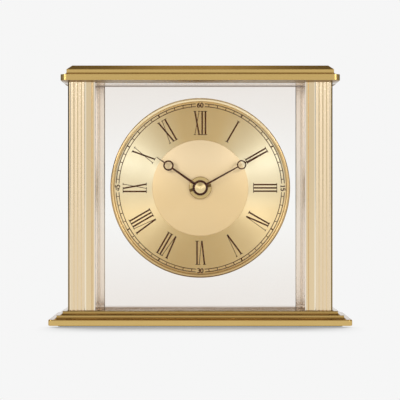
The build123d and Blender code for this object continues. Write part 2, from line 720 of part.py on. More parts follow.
MOTION = polar(MOTION_DISTANCE, MOTION_DIRECTION)
SETTING = polar(SETTING_DISTANCE, SETTING_DIRECTION, MOTION)
THIRD = polar(THIRD_DISTANCE, THIRD_DIRECTION)
INTERMEDIATE = polar(INTERMEDIATE_DISTANCE, INTERMEDIATE_DIRECTION)
ROTOR = polar(ROTOR_DISTANCE, ROTOR_DIRECTION, INTERMEDIATE)
CENTRE = (0.0, 0.0)
X_COIL = ROTOR[0] + COIL_OFFSET
COVER_POSTS = [
    (-HALF_INSIDE + POST_INSET, HALF_INSIDE - POST_INSET),
    (HALF_INSIDE - POST_INSET, HALF_INSIDE - POST_INSET),
    (-HALF_INSIDE + POST_INSET, -PARTITION + MOVEMENT_WALL + POST_INSET),
]
FRONT_PIVOT = MIDDLE_PLATE_AT + MIDDLE_PLATE - PIVOT_DEPTH
REAR_PIVOT = COVER_SEAT + PIVOT_DEPTH


def make_movement_case():
    """Tray open at the back, with a partition above the cell bay and posts for the cover."""
    case = box_behind_dial(-HALF_CASE, HALF_CASE, Y_MOVEMENT, Y_COVER, -HALF_CASE, HALF_CASE)
    y_floor = Y_MOVEMENT + MOVEMENT_WALL
    room = box_behind_dial(
        -HALF_INSIDE, HALF_INSIDE, y_floor, Y_COVER + OVERSHOOT, -PARTITION + MOVEMENT_WALL, HALF_INSIDE
    )
    bay = box_behind_dial(-HALF_INSIDE, HALF_INSIDE, y_floor, Y_COVER + OVERSHOOT, -HALF_INSIDE, -PARTITION)
    case = case - room - bay
    y_shelf = Y_MOVEMENT + MIDDLE_PLATE_AT
    for x, z in COVER_POSTS:
        case += rod(x, z, POST_RADIUS, y_floor - OVERLAP, y_shelf)
        case += rod(x, z, POST_NECK, y_floor - OVERLAP, Y_COVER)
        case -= rod(x, z, SMALL_SCREW_RADIUS + SEAT_GAP, Y_COVER - SMALL_THREAD - SLIP, Y_COVER + OVERSHOOT)
    case -= rod(0, 0, BUSH_RADIUS + SEAT_GAP, Y_MOVEMENT - OVERSHOOT, y_floor + OVERSHOOT)
    case -= rod(0, 0, BUSH_FLANGE_RADIUS + SEAT_GAP, y_floor - BUSH_FLANGE, y_floor + OVERSHOOT)
    start = MOVEMENT_WALL - PIVOT_DEPTH - SEAT_GAP
    end = MOVEMENT_WALL + OVERSHOOT
    case -= pivot_bar(MOTION, start, end, PIVOT_RADIUS + RUNNING)
    case -= pivot_bar(SETTING, start, end, SETTING_RADIUS + RUNNING)
    return case


def make_bush():
    """Threaded bush that carries the movement in the pane and the dial."""
    y_floor = Y_MOVEMENT + MOVEMENT_WALL
    bush = rod(0, 0, BUSH_RADIUS, Y_BUSH_END, y_floor)
    bush += rod(0, 0, BUSH_FLANGE_RADIUS, y_floor - BUSH_FLANGE + SEAT_GAP, y_floor)
    return bush - rod(0, 0, HOUR_TUBE_RADIUS + RUNNING, Y_BUSH_END - OVERSHOOT, y_floor + OVERSHOOT)


def make_middle_plate():
    """Plate between the motion work and the going train, with pads for the stator."""
    y0 = Y_MOVEMENT + MIDDLE_PLATE_AT
    y1 = y0 + MIDDLE_PLATE
    edge = HALF_INSIDE - SLIP
    plate = box_behind_dial(-edge, edge, y0, y1, -PARTITION + MOVEMENT_WALL + SLIP, edge)
    for x, z in stator_pads():
        plate += rod(x, z, PAD_RADIUS, y0, Y_MOVEMENT + STATOR_AT)
    for x, z in COVER_POSTS:
        plate -= rod(x, z, POST_NECK + SLIP, y0 - OVERSHOOT, y1 + OVERSHOOT)
    plate -= rod(0, 0, ARBOR_RADIUS + RUNNING, y0 - OVERSHOOT, y1 + OVERSHOOT)
    plate -= rod(*SETTING, SETTING_RADIUS + RUNNING, y0 - OVERSHOOT, y1 + OVERSHOOT)
    for place in (MOTION, THIRD, INTERMEDIATE, ROTOR):
        plate -= rod(*place, PIVOT_RADIUS + RUNNING, y0 - OVERSHOOT, y1 + OVERSHOOT)
    return plate


def make_rear_cover():
    """Back of the movement, with pivot seats, board posts and sunk screw holes."""
    cover = box_behind_dial(-HALF_CASE, HALF_CASE, Y_COVER, Y_REAR, -PARTITION, HALF_CASE)
    for x, z in board_posts():
        cover += rod(x, z, BOARD_POST_RADIUS, Y_MOVEMENT + BOARD_AT + BOARD_THICKNESS, Y_COVER + OVERLAP)
    for x, z in COVER_POSTS:
        cover -= rod(x, z, SMALL_SCREW_RADIUS + SLIP, Y_COVER - OVERSHOOT, Y_REAR + OVERSHOOT)
    cover -= rod(*SETTING, SETTING_RADIUS + RUNNING, Y_COVER - OVERSHOOT, Y_REAR + OVERSHOOT)
    for place in (CENTRE, THIRD, INTERMEDIATE, ROTOR):
        cover -= pivot_bar(place, COVER_SEAT - OVERSHOOT, REAR_PIVOT + SEAT_GAP, PIVOT_RADIUS + RUNNING)
    return cover


def make_cover_screws():
    """Screws of the rear cover."""
    screws = []
    for x, z in COVER_POSTS:
        head = rod(x, z, SMALL_HEAD_RADIUS, Y_REAR, Y_REAR + SMALL_HEAD_HEIGHT)
        half = SMALL_SLOT_WIDTH / 2
        y_slot = Y_REAR + SMALL_HEAD_HEIGHT - SMALL_SLOT_DEPTH
        reach = SMALL_HEAD_RADIUS + OVERSHOOT
        slot = box_behind_dial(x - reach, x + reach, y_slot, y_slot + reach, z - half, z + half)
        screws.append(head - slot + rod(x, z, SMALL_SCREW_RADIUS, Y_COVER - SMALL_THREAD, Y_REAR))
    return Compound(children=screws)


def make_minute_arbor(phase, module):
    """Arbor of the minute hand with its pinion, from the cap to the seat of the centre wheel."""
    y_step = Y_MOVEMENT + CENTRE_WHEEL_AT
    y_end = y_step + WHEEL_THICKNESS + CLUTCH_THICKNESS + ARBOR_END
    arbor = rod(0, 0, ARBOR_RADIUS, Y_MINUTE_HAND, y_step)
    arbor += rod(0, 0, ARBOR_NECK, Y_HAND_CAP - HAND_CAP_SOCKET, Y_MINUTE_HAND + OVERLAP)
    arbor += rod(0, 0, ARBOR_NECK, y_step - OVERLAP, y_end)
    arbor += gear(MINUTE_PINION_TEETH, module, phase, CENTRE, MINUTE_PINION_AT, THICK_WHEEL)
    return arbor - rod(0, 0, PIVOT_RADIUS + RUNNING, y_end - ARBOR_SOCKET, y_end + OVERSHOOT)


def make_hour_wheel(phase, module):
    """Hour wheel on the tube that carries the hour hand."""
    wheel = gear(HOUR_WHEEL_TEETH, module, phase, CENTRE, HOUR_WHEEL_AT, HOUR_WHEEL_THICKNESS)
    wheel += rod(0, 0, HOUR_TUBE_RADIUS, Y_TUBE_END, Y_MOVEMENT + HOUR_WHEEL_AT + HOUR_WHEEL_THICKNESS)
    return wheel - rod(0, 0, ARBOR_RADIUS + RUNNING, Y_TUBE_END - OVERSHOOT, Y_COVER)


def make_motion_wheel(phase, module, pinion_phase, pinion_module):
    """Motion wheel and pinion between the minute and hour wheels."""
    wheel = gear(MOTION_WHEEL_TEETH, module, phase, MOTION, MINUTE_PINION_AT, THICK_WHEEL)
    length = MINUTE_PINION_AT - HOUR_WHEEL_AT + OVERLAP
    wheel += gear(MOTION_PINION_TEETH, pinion_module, pinion_phase, MOTION, HOUR_WHEEL_AT, length)
    back = MIDDLE_PLATE_AT + MIDDLE_PLATE - MOTION_END_GAP
    return wheel + pivot_bar(MOTION, MOVEMENT_WALL - PIVOT_DEPTH, back, PIVOT_RADIUS)


def make_setting_arbor(phase, module):
    """Shaft of the setting knob with the gear that drives the motion wheel."""
    arbor = gear(SETTING_TEETH, module, phase, SETTING, MINUTE_PINION_AT, THICK_WHEEL)
    end = COVER_SEAT + MOVEMENT_WALL + SETTING_GRIP
    return arbor + pivot_bar(SETTING, MOVEMENT_WALL - PIVOT_DEPTH, end, SETTING_RADIUS)


def make_knob():
    """Fluted knob behind the cover."""
    y0 = Y_REAR + KNOB_GAP
    knob = rod(*SETTING, KNOB_RADIUS, y0, y0 + KNOB_HEIGHT)
    knob = chamfer(knob.edges().filter_by(GeomType.CIRCLE), KNOB_CHAMFER)
    for flute in range(KNOB_FLUTES):
        place = polar(KNOB_RADIUS + FLUTE_OUTSET, 360 * flute / KNOB_FLUTES, SETTING)
        knob -= rod(*place, FLUTE_RADIUS, y0 - OVERSHOOT, y0 + KNOB_HEIGHT + OVERSHOOT)
    end = Y_REAR + SETTING_GRIP
    return knob - rod(*SETTING, SETTING_RADIUS + PRESS, y0 - OVERSHOOT, end + SEAT_GAP)


def make_train_wheel(place, wheel, pinion, arbor):
    """Wheel and pinion on one arbor; wheel and pinion give teeth, module, phase and depth."""
    body = gear(wheel[0], wheel[1], wheel[2], place, wheel[3], WHEEL_THICKNESS)
    body += gear(pinion[0], pinion[1], pinion[2], place, pinion[3], WHEEL_THICKNESS)
    low = min(wheel[3], pinion[3])
    high = max(wheel[3], pinion[3]) + WHEEL_THICKNESS
    root = pinion[1] * (pinion[0] / 2 - DEDENDUM) * HUB_SHARE
    body += pivot_bar(place, low, high, root)
    return body + pivot_bar(place, arbor[0], arbor[1], PIVOT_RADIUS)


def make_centre_wheel(phase, module):
    """Wheel of the going train that carries the minute arbor by friction."""
    wheel = gear(CENTRE_WHEEL_TEETH, module, phase, CENTRE, CENTRE_WHEEL_AT, WHEEL_THICKNESS)
    return wheel - rod(0, 0, ARBOR_NECK + RUNNING, Y_MOVEMENT, Y_COVER)


def make_rotor(phase, module):
    """Rotor arbor with its pinion, and the ring magnet on it."""
    body = gear(PINION_TEETH, module, phase, ROTOR, INTERMEDIATE_WHEEL_AT, WHEEL_THICKNESS)
    core = pivot_bar(ROTOR, MAGNET_AT, MAGNET_AT + MAGNET_LENGTH + ROTOR_CORE_PROUD, ROTOR_CORE_RADIUS)
    body += core + pivot_bar(ROTOR, FRONT_PIVOT, REAR_PIVOT, PIVOT_RADIUS)
    y0 = Y_MOVEMENT + MAGNET_AT
    magnet = washer(*ROTOR, MAGNET_RADIUS, ROTOR_CORE_RADIUS + PRESS, y0, y0 + MAGNET_LENGTH)
    return body, magnet


def stator_ends():
    """Low and high end of the stator, counted from the dial centre."""
    return ROTOR[1] - STATOR_DROP, ROTOR[1] + STATOR_RISE


def stator_pads():
    """Places where the stator rests on the middle plate."""
    low, high = stator_ends()
    half = STATOR_ARM / 2
    return [(ROTOR[0] + PAD_OFFSET, low + half), (ROTOR[0] - PAD_OFFSET, high - half)]


def make_stator():
    """C-shaped iron sheet round the rotor."""
    low, high = stator_ends()
    y0 = Y_MOVEMENT + STATOR_AT
    y1 = y0 + STATOR_THICKNESS
    x0 = ROTOR[0] - STATOR_WIDTH / 2
    x1 = ROTOR[0] + STATOR_WIDTH / 2 - STATOR_TRIM
    x_arm = ROTOR[0] + STATOR_REACH
    sheet = box_behind_dial(x0, x1, y0, y1, low, high)
    sheet += box_behind_dial(x0, x_arm, y0, y1, low, low + STATOR_ARM)
    sheet += box_behind_dial(x0, x_arm, y0, y1, high - STATOR_ARM, high)
    return sheet - rod(*ROTOR, MAGNET_RADIUS + AIR_GAP, y0 - OVERSHOOT, y1 + OVERSHOOT)


def make_coil():
    """Core strip behind the stator arms, bobbin and winding."""
    low, high = stator_ends()
    y0 = Y_MOVEMENT + STATOR_AT + STATOR_THICKNESS
    y1 = y0 + CORE_THICKNESS
    half = CORE_WIDTH / 2
    core = box_behind_dial(X_COIL - half, X_COIL + half, y0, y1, low, high)
    z0 = DIAL_HEIGHT + low + STATOR_ARM + COIL_END_GAP
    z1 = DIAL_HEIGHT + high - STATOR_ARM - COIL_END_GAP
    y_mid = (y0 + y1) / 2
    sleeve = half + BOBBIN_MARGIN
    bobbin = post(X_COIL, y_mid, sleeve, z0, z1)
    bobbin += post(X_COIL, y_mid, COIL_RADIUS, z0, z0 + COIL_WALL)
    bobbin += post(X_COIL, y_mid, COIL_RADIUS, z1 - COIL_WALL, z1)
    x0 = X_COIL - half - SEAT_GAP
    x1 = X_COIL + half + SEAT_GAP
    bobbin -= block(x0, x1, y0 - SEAT_GAP, y1 + SEAT_GAP, z0 - OVERSHOOT, z1 + OVERSHOOT)
    winding = post(X_COIL, y_mid, COIL_RADIUS - WINDING_INSET, z0 + COIL_WALL, z1 - COIL_WALL)
    winding -= post(X_COIL, y_mid, sleeve + PRESS, z0, z1)
    return core, bobbin, winding


def board_posts():
    """Places where the board rests on the cover."""
    x = -HALF_INSIDE + BOARD_POST_START
    z = HALF_INSIDE - BOARD_EDGE_GAP - BOARD_WIDTH / 2
    return [(x, z), (x + BOARD_POST_SPACING, z)]


def make_circuit():
    """Board with the crystal and the chip on its front."""
    y0 = Y_MOVEMENT + BOARD_AT
    z1 = HALF_INSIDE - BOARD_EDGE_GAP
    z0 = z1 - BOARD_WIDTH
    x0 = -HALF_INSIDE + BOARD_START
    board = box_behind_dial(x0, x0 + BOARD_LENGTH, y0, y0 + BOARD_THICKNESS, z0, z1)
    z_mid = (z0 + z1) / 2
    x_can = -HALF_INSIDE + CRYSTAL_START
    can = Pos(x_can, y0 - CRYSTAL_RADIUS, DIAL_HEIGHT + z_mid)
    can = can * Rot(0, 90, 0) * Cylinder(CRYSTAL_RADIUS, CRYSTAL_LENGTH)
    half = CHIP_SIZE / 2
    x_chip = x_can + CRYSTAL_LENGTH + half
    chip = box_behind_dial(x_chip - half, x_chip + half, y0 - CHIP_HEIGHT, y0, z_mid - half, z_mid + half)
    return board, can, chip


def cell_axis():
    """Depth and height of the cell's axis."""
    y = Y_MOVEMENT + MOVEMENT_WALL + CELL_CLEARANCE + CELL_RADIUS
    return y, DIAL_HEIGHT - HALF_INSIDE + CELL_CLEARANCE + CELL_RADIUS


def lying(x0, x1, radius):
    """Round bar along X on the cell's axis."""
    y, z = cell_axis()
    return Pos((x0 + x1) / 2, y, z) * Rot(0, 90, 0) * Cylinder(radius, x1 - x0)


def make_cell():
    """Round cell with its raised pole."""
    x0 = -CELL_LENGTH / 2
    x1 = CELL_LENGTH / 2
    can = lying(x0, x1 - CELL_NUB, CELL_RADIUS)
    can = chamfer(can.edges().filter_by(GeomType.CIRCLE), CELL_CHAMFER)
    return can + lying(x1 - CELL_NUB - OVERLAP, x1, CELL_NUB_RADIUS)


def make_contacts():
    """Pressed plates at both ends of the cell bay."""
    y, z = cell_axis()
    reach = CONTACT_WIDTH / 2
    outer = HALF_INSIDE - PRESS
    inner = outer - CONTACT_THICKNESS
    plates = []
    for sign in (1, -1):
        x0, x1 = sorted((sign * outer, sign * inner))
        plate = block(x0, x1, y - reach, y + reach, z - reach, z + reach)
        x0, x1 = sorted((sign * inner, sign * (CELL_LENGTH / 2 + SLIP)))
        plates.append(plate + lying(x0, x1, CELL_NUB_RADIUS))
    return plates


def phases():
    """Turn of every gear at rest, each in mesh with its mate."""
    turn = {"minute": 0.0, "motion_pinion": 0.0, "seconds_pinion": 0.0, "third_pinion": 0.0}
    turn["motion"] = mate_phase(turn["minute"], MINUTE_PINION_TEETH, MOTION_WHEEL_TEETH, MOTION_DIRECTION)
    back = MOTION_DIRECTION + 180
    turn["hour"] = mate_phase(turn["motion_pinion"], MOTION_PINION_TEETH, HOUR_WHEEL_TEETH, back)
    turn["setting"] = mate_phase(turn["motion"], MOTION_WHEEL_TEETH, SETTING_TEETH, SETTING_DIRECTION)
    turn["third"] = mate_phase(turn["seconds_pinion"], PINION_TEETH, THIRD_WHEEL_TEETH, THIRD_DIRECTION)
    back = THIRD_DIRECTION + 180
    turn["centre"] = mate_phase(turn["third_pinion"], PINION_TEETH, CENTRE_WHEEL_TEETH, back)
    turn["intermediate_pinion"] = 0.0
    back = INTERMEDIATE_DIRECTION + 180
    turn["seconds"] = mate_phase(0.0, PINION_TEETH, SECONDS_WHEEL_TEETH, back)
    turn["rotor"] = 0.0
    turn["intermediate"] = mate_phase(0.0, PINION_TEETH, INTERMEDIATE_TEETH, ROTOR_DIRECTION + 180)
    return turn


def make_train(parts):
    """All geared pieces of the movement."""
    turn = phases()
    minute_module = module_of(MOTION_DISTANCE, MINUTE_PINION_TEETH, MOTION_WHEEL_TEETH)
    hour_module = module_of(MOTION_DISTANCE, MOTION_PINION_TEETH, HOUR_WHEEL_TEETH)
    setting_module = module_of(SETTING_DISTANCE, MOTION_WHEEL_TEETH, SETTING_TEETH)
    third_module = module_of(THIRD_DISTANCE, PINION_TEETH, THIRD_WHEEL_TEETH)
    centre_module = module_of(THIRD_DISTANCE, PINION_TEETH, CENTRE_WHEEL_TEETH)
    seconds_module = module_of(INTERMEDIATE_DISTANCE, PINION_TEETH, SECONDS_WHEEL_TEETH)
    rotor_module = module_of(ROTOR_DISTANCE, PINION_TEETH, INTERMEDIATE_TEETH)
    parts["minute_arbor"] = make_minute_arbor(turn["minute"], minute_module)
    parts["hour_wheel"] = make_hour_wheel(turn["hour"], hour_module)
    parts["motion_wheel"] = make_motion_wheel(
        turn["motion"], minute_module, turn["motion_pinion"], hour_module
    )
    parts["setting_arbor"] = make_setting_arbor(turn["setting"], setting_module)
    parts["centre_wheel"] = make_centre_wheel(turn["centre"], centre_module)
    y_clutch = Y_MOVEMENT + CENTRE_WHEEL_AT + WHEEL_THICKNESS
    parts["clutch_spring"] = washer(
        0, 0, CLUTCH_RADIUS, ARBOR_NECK + PRESS, y_clutch, y_clutch + CLUTCH_THICKNESS
    )
    parts["third_wheel"] = make_train_wheel(
        THIRD,
        (THIRD_WHEEL_TEETH, third_module, turn["third"], THIRD_WHEEL_AT),
        (PINION_TEETH, centre_module, turn["third_pinion"], CENTRE_WHEEL_AT),
        (FRONT_PIVOT, REAR_PIVOT),
    )
    arbor_end = CENTRE_WHEEL_AT + WHEEL_THICKNESS + CLUTCH_THICKNESS + ARBOR_END
    front = arbor_end - ARBOR_SOCKET + SLIP
    parts["seconds_wheel"] = make_train_wheel(
        CENTRE,
        (SECONDS_WHEEL_TEETH, seconds_module, turn["seconds"], SECONDS_WHEEL_AT),
        (PINION_TEETH, third_module, turn["seconds_pinion"], THIRD_WHEEL_AT),
        (front, REAR_PIVOT),
    )
    parts["intermediate_wheel"] = make_train_wheel(
        INTERMEDIATE,
        (INTERMEDIATE_TEETH, rotor_module, turn["intermediate"], INTERMEDIATE_WHEEL_AT),
        (PINION_TEETH, seconds_module, turn["intermediate_pinion"], SECONDS_WHEEL_AT),
        (FRONT_PIVOT, REAR_PIVOT),
    )
    parts["rotor"], parts["rotor_magnet"] = make_rotor(turn["rotor"], rotor_module)


def make_parts():
    """Every node of the clock by name."""
    parts = {}
    parts["felt_pad"] = make_felt()
    parts["bottom_plate"] = make_bottom_plate()
    parts["bottom_screws"] = make_bottom_screws()
    parts["base_plinth"] = make_base()
    parts["pillar_right"] = make_pillar()
    parts["pillar_left"] = mirror(parts["pillar_right"], about=Plane.YZ)
    bead, tongue = bead_block(0)
    parts["rear_bead_right"] = bead + tongue
    parts["rear_bead_left"] = mirror(parts["rear_bead_right"], about=Plane.YZ)
    parts["tie_screws"], parts["tie_washers"] = make_tie_screws()
    parts["cap_lower"] = make_cap_lower()
    parts["cap_upper"] = make_cap_upper()
    parts["cap_screws"] = make_cap_screws()
    parts["front_glass"] = pane_slot(Y_FRONT_GLASS, 0)
    pane = pane_slot(Y_DIAL_GLASS, 0)
    hole = rod(0, 0, BUSH_RADIUS + SLIP, Y_DIAL_GLASS - OVERSHOOT, Y_MOVEMENT)
    parts["dial_glass"] = pane - hole
    parts["dial_plate"] = make_dial_plate()
    parts["dial_rim"] = make_dial_rim()
    parts["nut_washer"] = washer(
        0, 0, NUT_RADIUS - NUT_MARGIN, BUSH_RADIUS + SLIP, Y_NUT, Y_DIAL - DIAL_CENTRE_RISE
    )
    parts["fixing_nut"] = make_fixing_nut()
    parts["hour_hand"] = make_hand(
        HOUR_ANGLE, Y_HOUR_HAND, HOUR_BOSS_RADIUS, HOUR_TUBE_RADIUS + PRESS, HOUR_LENGTH, HOUR_RING,
        HOUR_RING_RADIUS, HOUR_RING_STROKE, HOUR_BLADE, HOUR_TIP,
    )
    parts["minute_hand"] = make_hand(
        MINUTE_ANGLE, Y_MINUTE_HAND, MINUTE_BOSS_RADIUS, ARBOR_NECK + PRESS, MINUTE_LENGTH, MINUTE_RING,
        MINUTE_RING_RADIUS, MINUTE_RING_STROKE, MINUTE_BLADE, MINUTE_TIP,
    )
    parts["hand_cap"] = make_hand_cap()
    y_gasket = Y_DIAL_GLASS + GLASS_THICKNESS
    parts["movement_gasket"] = washer(
        0, 0, BUSH_RADIUS + SLIP + GASKET_WIDTH, BUSH_RADIUS + SLIP, y_gasket, Y_MOVEMENT
    )
    parts["movement_case"] = make_movement_case()
    parts["threaded_bush"] = make_bush()
    parts["middle_plate"] = make_middle_plate()
    parts["rear_cover"] = make_rear_cover()
    parts["cover_screws"] = make_cover_screws()
    make_train(parts)
    parts["setting_knob"] = make_knob()
    parts["stator"] = make_stator()
    parts["coil_core"], parts["coil_bobbin"], parts["coil_winding"] = make_coil()
    parts["circuit_board"], parts["quartz_crystal"], parts["driver_chip"] = make_circuit()
    parts["battery"] = make_cell()
    parts["contact_positive"], parts["contact_negative"] = make_contacts()
    return parts


os.makedirs("parts", exist_ok=True)
for node, shape in make_parts().items():
    export_step(shape, "parts/" + node + ".step")
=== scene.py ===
import json
import math

import bpy
import numpy as np
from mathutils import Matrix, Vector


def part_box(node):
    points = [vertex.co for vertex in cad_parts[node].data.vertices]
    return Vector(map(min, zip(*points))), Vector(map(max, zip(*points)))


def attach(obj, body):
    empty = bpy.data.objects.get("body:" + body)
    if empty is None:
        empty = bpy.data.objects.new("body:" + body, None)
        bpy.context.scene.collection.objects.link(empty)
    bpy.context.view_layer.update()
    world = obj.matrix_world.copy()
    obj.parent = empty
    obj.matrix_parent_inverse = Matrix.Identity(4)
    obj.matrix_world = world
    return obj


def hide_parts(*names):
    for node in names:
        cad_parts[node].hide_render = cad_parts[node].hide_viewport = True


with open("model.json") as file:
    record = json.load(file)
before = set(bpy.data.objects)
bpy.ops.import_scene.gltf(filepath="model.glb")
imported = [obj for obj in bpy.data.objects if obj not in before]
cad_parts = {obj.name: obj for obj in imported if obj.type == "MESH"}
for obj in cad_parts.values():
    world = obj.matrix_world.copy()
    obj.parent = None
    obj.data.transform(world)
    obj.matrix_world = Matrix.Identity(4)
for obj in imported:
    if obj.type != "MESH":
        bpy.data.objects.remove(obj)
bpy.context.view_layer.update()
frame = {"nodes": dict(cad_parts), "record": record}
nodes = frame["nodes"]
scene = bpy.context.scene

MM = 0.001

# Corners of the pieces that shapes and finishes are measured from, in metres.
RIM_LOW, RIM_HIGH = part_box("dial_rim")
PANE_LOW, PANE_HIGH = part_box("front_glass")
PILLAR_LOW, PILLAR_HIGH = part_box("pillar_right")
BEAD_LOW, BEAD_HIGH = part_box("rear_bead_left")
CELL_LOW, CELL_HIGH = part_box("battery")
NUT_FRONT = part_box("fixing_nut")[0].y
DIAL_X = (RIM_LOW.x + RIM_HIGH.x) / 2
DIAL_Z = (RIM_LOW.z + RIM_HIGH.z) / 2


# Shader nodes in short words

def tone(red, green, blue):
    """Linear colour of a display colour given from 0 to 255, by the sRGB curve."""
    shown = np.array([red, green, blue]) / 255
    curve = np.where(shown <= 0.04045, shown / 12.92, ((shown + 0.055) / 1.055) ** 2.4)
    return (*curve.tolist(), 1.0)


def put(tree, kind, values=None, **settings):
    """New node; values are plain numbers or sockets to link from, by input name or index."""
    node = tree.nodes.new(kind)
    for key, value in settings.items():
        setattr(node, key, value)
    for key, value in (values or {}).items():
        if isinstance(value, bpy.types.NodeSocket):
            tree.links.new(value, node.inputs[key])
        else:
            node.inputs[key].default_value = value
    return node


def calc(tree, operation, first, second=0.0):
    """Result of one arithmetic step."""
    return put(tree, "ShaderNodeMath", {0: first, 1: second}, operation=operation).outputs[0]


def product(tree, first, *others):
    """Values multiplied together."""
    for other in others:
        first = calc(tree, "MULTIPLY", first, other)
    return first


def raised(tree, base, value, share):
    """Base plus a share of a value."""
    return calc(tree, "ADD", product(tree, value, share), base)


def unsigned(tree, value):
    """Size of a value without its sign."""
    return calc(tree, "ABSOLUTE", value)


def span(tree, value, from_low, from_high, to_low, to_high):
    """Value moved from one range to another and held inside it."""
    limits = {"Value": value, "From Min": from_low, "From Max": from_high, "To Min": to_low, "To Max": to_high}
    return put(tree, "ShaderNodeMapRange", limits).outputs[0]


def rising(tree, value, start, end, most=1.0):
    """Step from nothing up to the most, between two values."""
    return span(tree, value, start, end, 0.0, most)


def falling(tree, value, start, end, most=1.0):
    """Step from the most down to nothing, between two values."""
    return span(tree, value, start, end, most, 0.0)


def blend_tones(tree, share, first, second):
    """Colour between two colours."""
    return put(tree, "ShaderNodeMix", {0: share, 6: first, 7: second}, data_type="RGBA").outputs[2]


def axes(tree, place):
    """X, Y and Z of a place or a direction."""
    return put(tree, "ShaderNodeSeparateXYZ", {0: place}).outputs


def noise(tree, place, scale, detail, **more):
    """Cloudy noise from 0 to 1, with its scale in waves per metre."""
    values = {"Vector": place, "Scale": scale, "Detail": detail, **more}
    return put(tree, "ShaderNodeTexNoise", values).outputs["Fac"]


def bumped(tree, height, strength, distance, **more):
    """Normal that follows a height, with its distance in metres."""
    values = {"Height": height, "Strength": strength, "Distance": distance, **more}
    return put(tree, "ShaderNodeBump", values).outputs["Normal"]


def face_normal(tree):
    """Direction that the surface looks in."""
    return put(tree, "ShaderNodeNewGeometry").outputs["Normal"]


def wire(tree, shader, values):
    """Links values that change over the surface to the main shader."""
    for label, value in values.items():
        tree.links.new(value, shader.inputs[label])


def set_plain(shader, values):
    """Values that are the same all over the surface."""
    for label, value in values.items():
        shader.inputs[label].default_value = value


# Effects that several finishes share

VECTOR, NUMBER = "NodeSocketVector", "NodeSocketFloat"
LINE_NOISE = 0.25, 0.75
SMEAR_NOISE = 0.35, 0.7
SPOT_SIZE = 0.04, 0.09
EDGE_LEAN = 0.999, 0.93
EDGE_BREAKS = 0.3, 0.6, 0.3, 1.0
DUST_LEAN = 0.75, 1.0
DUST_NOISE = 0.4, 0.8
ROOM_SIDE, ROOM_END = 0.001, 0.002


def new_group(name, inputs, outputs):
    """Empty shader node group with named sockets."""
    tree = bpy.data.node_groups.new(name, "ShaderNodeTree")
    for label, kind in inputs:
        tree.interface.new_socket(label, in_out="INPUT", socket_type=kind)
    for label, kind in outputs:
        tree.interface.new_socket(label, in_out="OUTPUT", socket_type=kind)
    return tree, tree.nodes.new("NodeGroupInput").outputs, tree.nodes.new("NodeGroupOutput").inputs


def fine_lines_group():
    """Brushed lines: noise stretched along one direction, so it runs fast across the lines and slowly along them."""
    tree, given, gives = new_group("fine_lines", [("Vector", VECTOR), ("Stretch", VECTOR)], [("Lines", NUMBER)])
    stretch = {0: given["Vector"], 1: given["Stretch"]}
    stretched = put(tree, "ShaderNodeVectorMath", stretch, operation="MULTIPLY").outputs[0]
    tree.links.new(rising(tree, noise(tree, stretched, scale=1.0, detail=3.0), *LINE_NOISE), gives["Lines"])
    return tree


def handling_group():
    """Traces of use: broad smears from slow noise, and sparse pin-prick spots where cell noise is near zero."""
    tree, given, gives = new_group("handling", [("Vector", VECTOR)], [("Smear", NUMBER), ("Spots", NUMBER)])
    slow = noise(tree, given["Vector"], scale=42.0, detail=5.0, Distortion=0.6)
    cells = put(tree, "ShaderNodeTexVoronoi", {"Vector": given["Vector"], "Scale": 260.0})
    tree.links.new(rising(tree, slow, *SMEAR_NOISE), gives["Smear"])
    tree.links.new(falling(tree, cells.outputs["Distance"], *SPOT_SIZE), gives["Spots"])
    return tree


def worn_edges_group():
    """Edge mask: the rounded normal leans away from the face normal only near an edge; noise breaks the mask up."""
    tree, given, gives = new_group("worn_edges", [("Vector", VECTOR), ("Rounded", VECTOR)], [("Edge", NUMBER)])
    both = {0: face_normal(tree), 1: given["Rounded"]}
    lean = put(tree, "ShaderNodeVectorMath", both, operation="DOT_PRODUCT").outputs["Value"]
    breaks = span(tree, noise(tree, given["Vector"], scale=300.0, detail=2.0), *EDGE_BREAKS)
    tree.links.new(product(tree, rising(tree, lean, *EDGE_LEAN), breaks), gives["Edge"])
    return tree


def settled_dust_group():
    """Dust: only where the face looks up, in patches of noise."""
    tree, given, gives = new_group("settled_dust", [("Vector", VECTOR)], [("Dust", NUMBER)])
    up = rising(tree, axes(tree, face_normal(tree))["Z"], *DUST_LEAN)
    patches = rising(tree, noise(tree, given["Vector"], scale=60.0, detail=8.0, Roughness=0.7), *DUST_NOISE)
    tree.links.new(product(tree, up, patches), gives["Dust"])
    return tree


def moulded_group():
    """Moulded skin: fine grain from fast noise, and slow waviness of the tool face."""
    tree, given, gives = new_group("moulded_skin", [("Vector", VECTOR)], [("Grain", NUMBER), ("Wave", NUMBER)])
    tree.links.new(noise(tree, given["Vector"], scale=2600.0, detail=2.0), gives["Grain"])
    tree.links.new(noise(tree, given["Vector"], scale=70.0, detail=3.0), gives["Wave"])
    return tree


def room_group():
    """Room between the pillars and between front and back: steps of the x and y place."""
    tree, given, gives = new_group("room", [("Vector", VECTOR)], [("Room", NUMBER)])
    at = axes(tree, given["Vector"])
    wide = falling(tree, unsigned(tree, at["X"]), PANE_HIGH.x - ROOM_SIDE, PANE_HIGH.x)
    ahead = rising(tree, at["Y"], PANE_LOW.y - ROOM_END, PANE_LOW.y)
    behind = falling(tree, at["Y"], -PANE_LOW.y, ROOM_END - PANE_LOW.y)
    tree.links.new(product(tree, wide, ahead, behind), gives["Room"])
    return tree


def facing_group():
    """Share of a face that looks up or down: a step of the height of its normal."""
    tree, given, gives = new_group("facing", [("From", NUMBER), ("To", NUMBER)], [("Share", NUMBER)])
    lean = axes(tree, face_normal(tree))["Z"]
    tree.links.new(rising(tree, lean, given["From"], given["To"]), gives["Share"])
    return tree


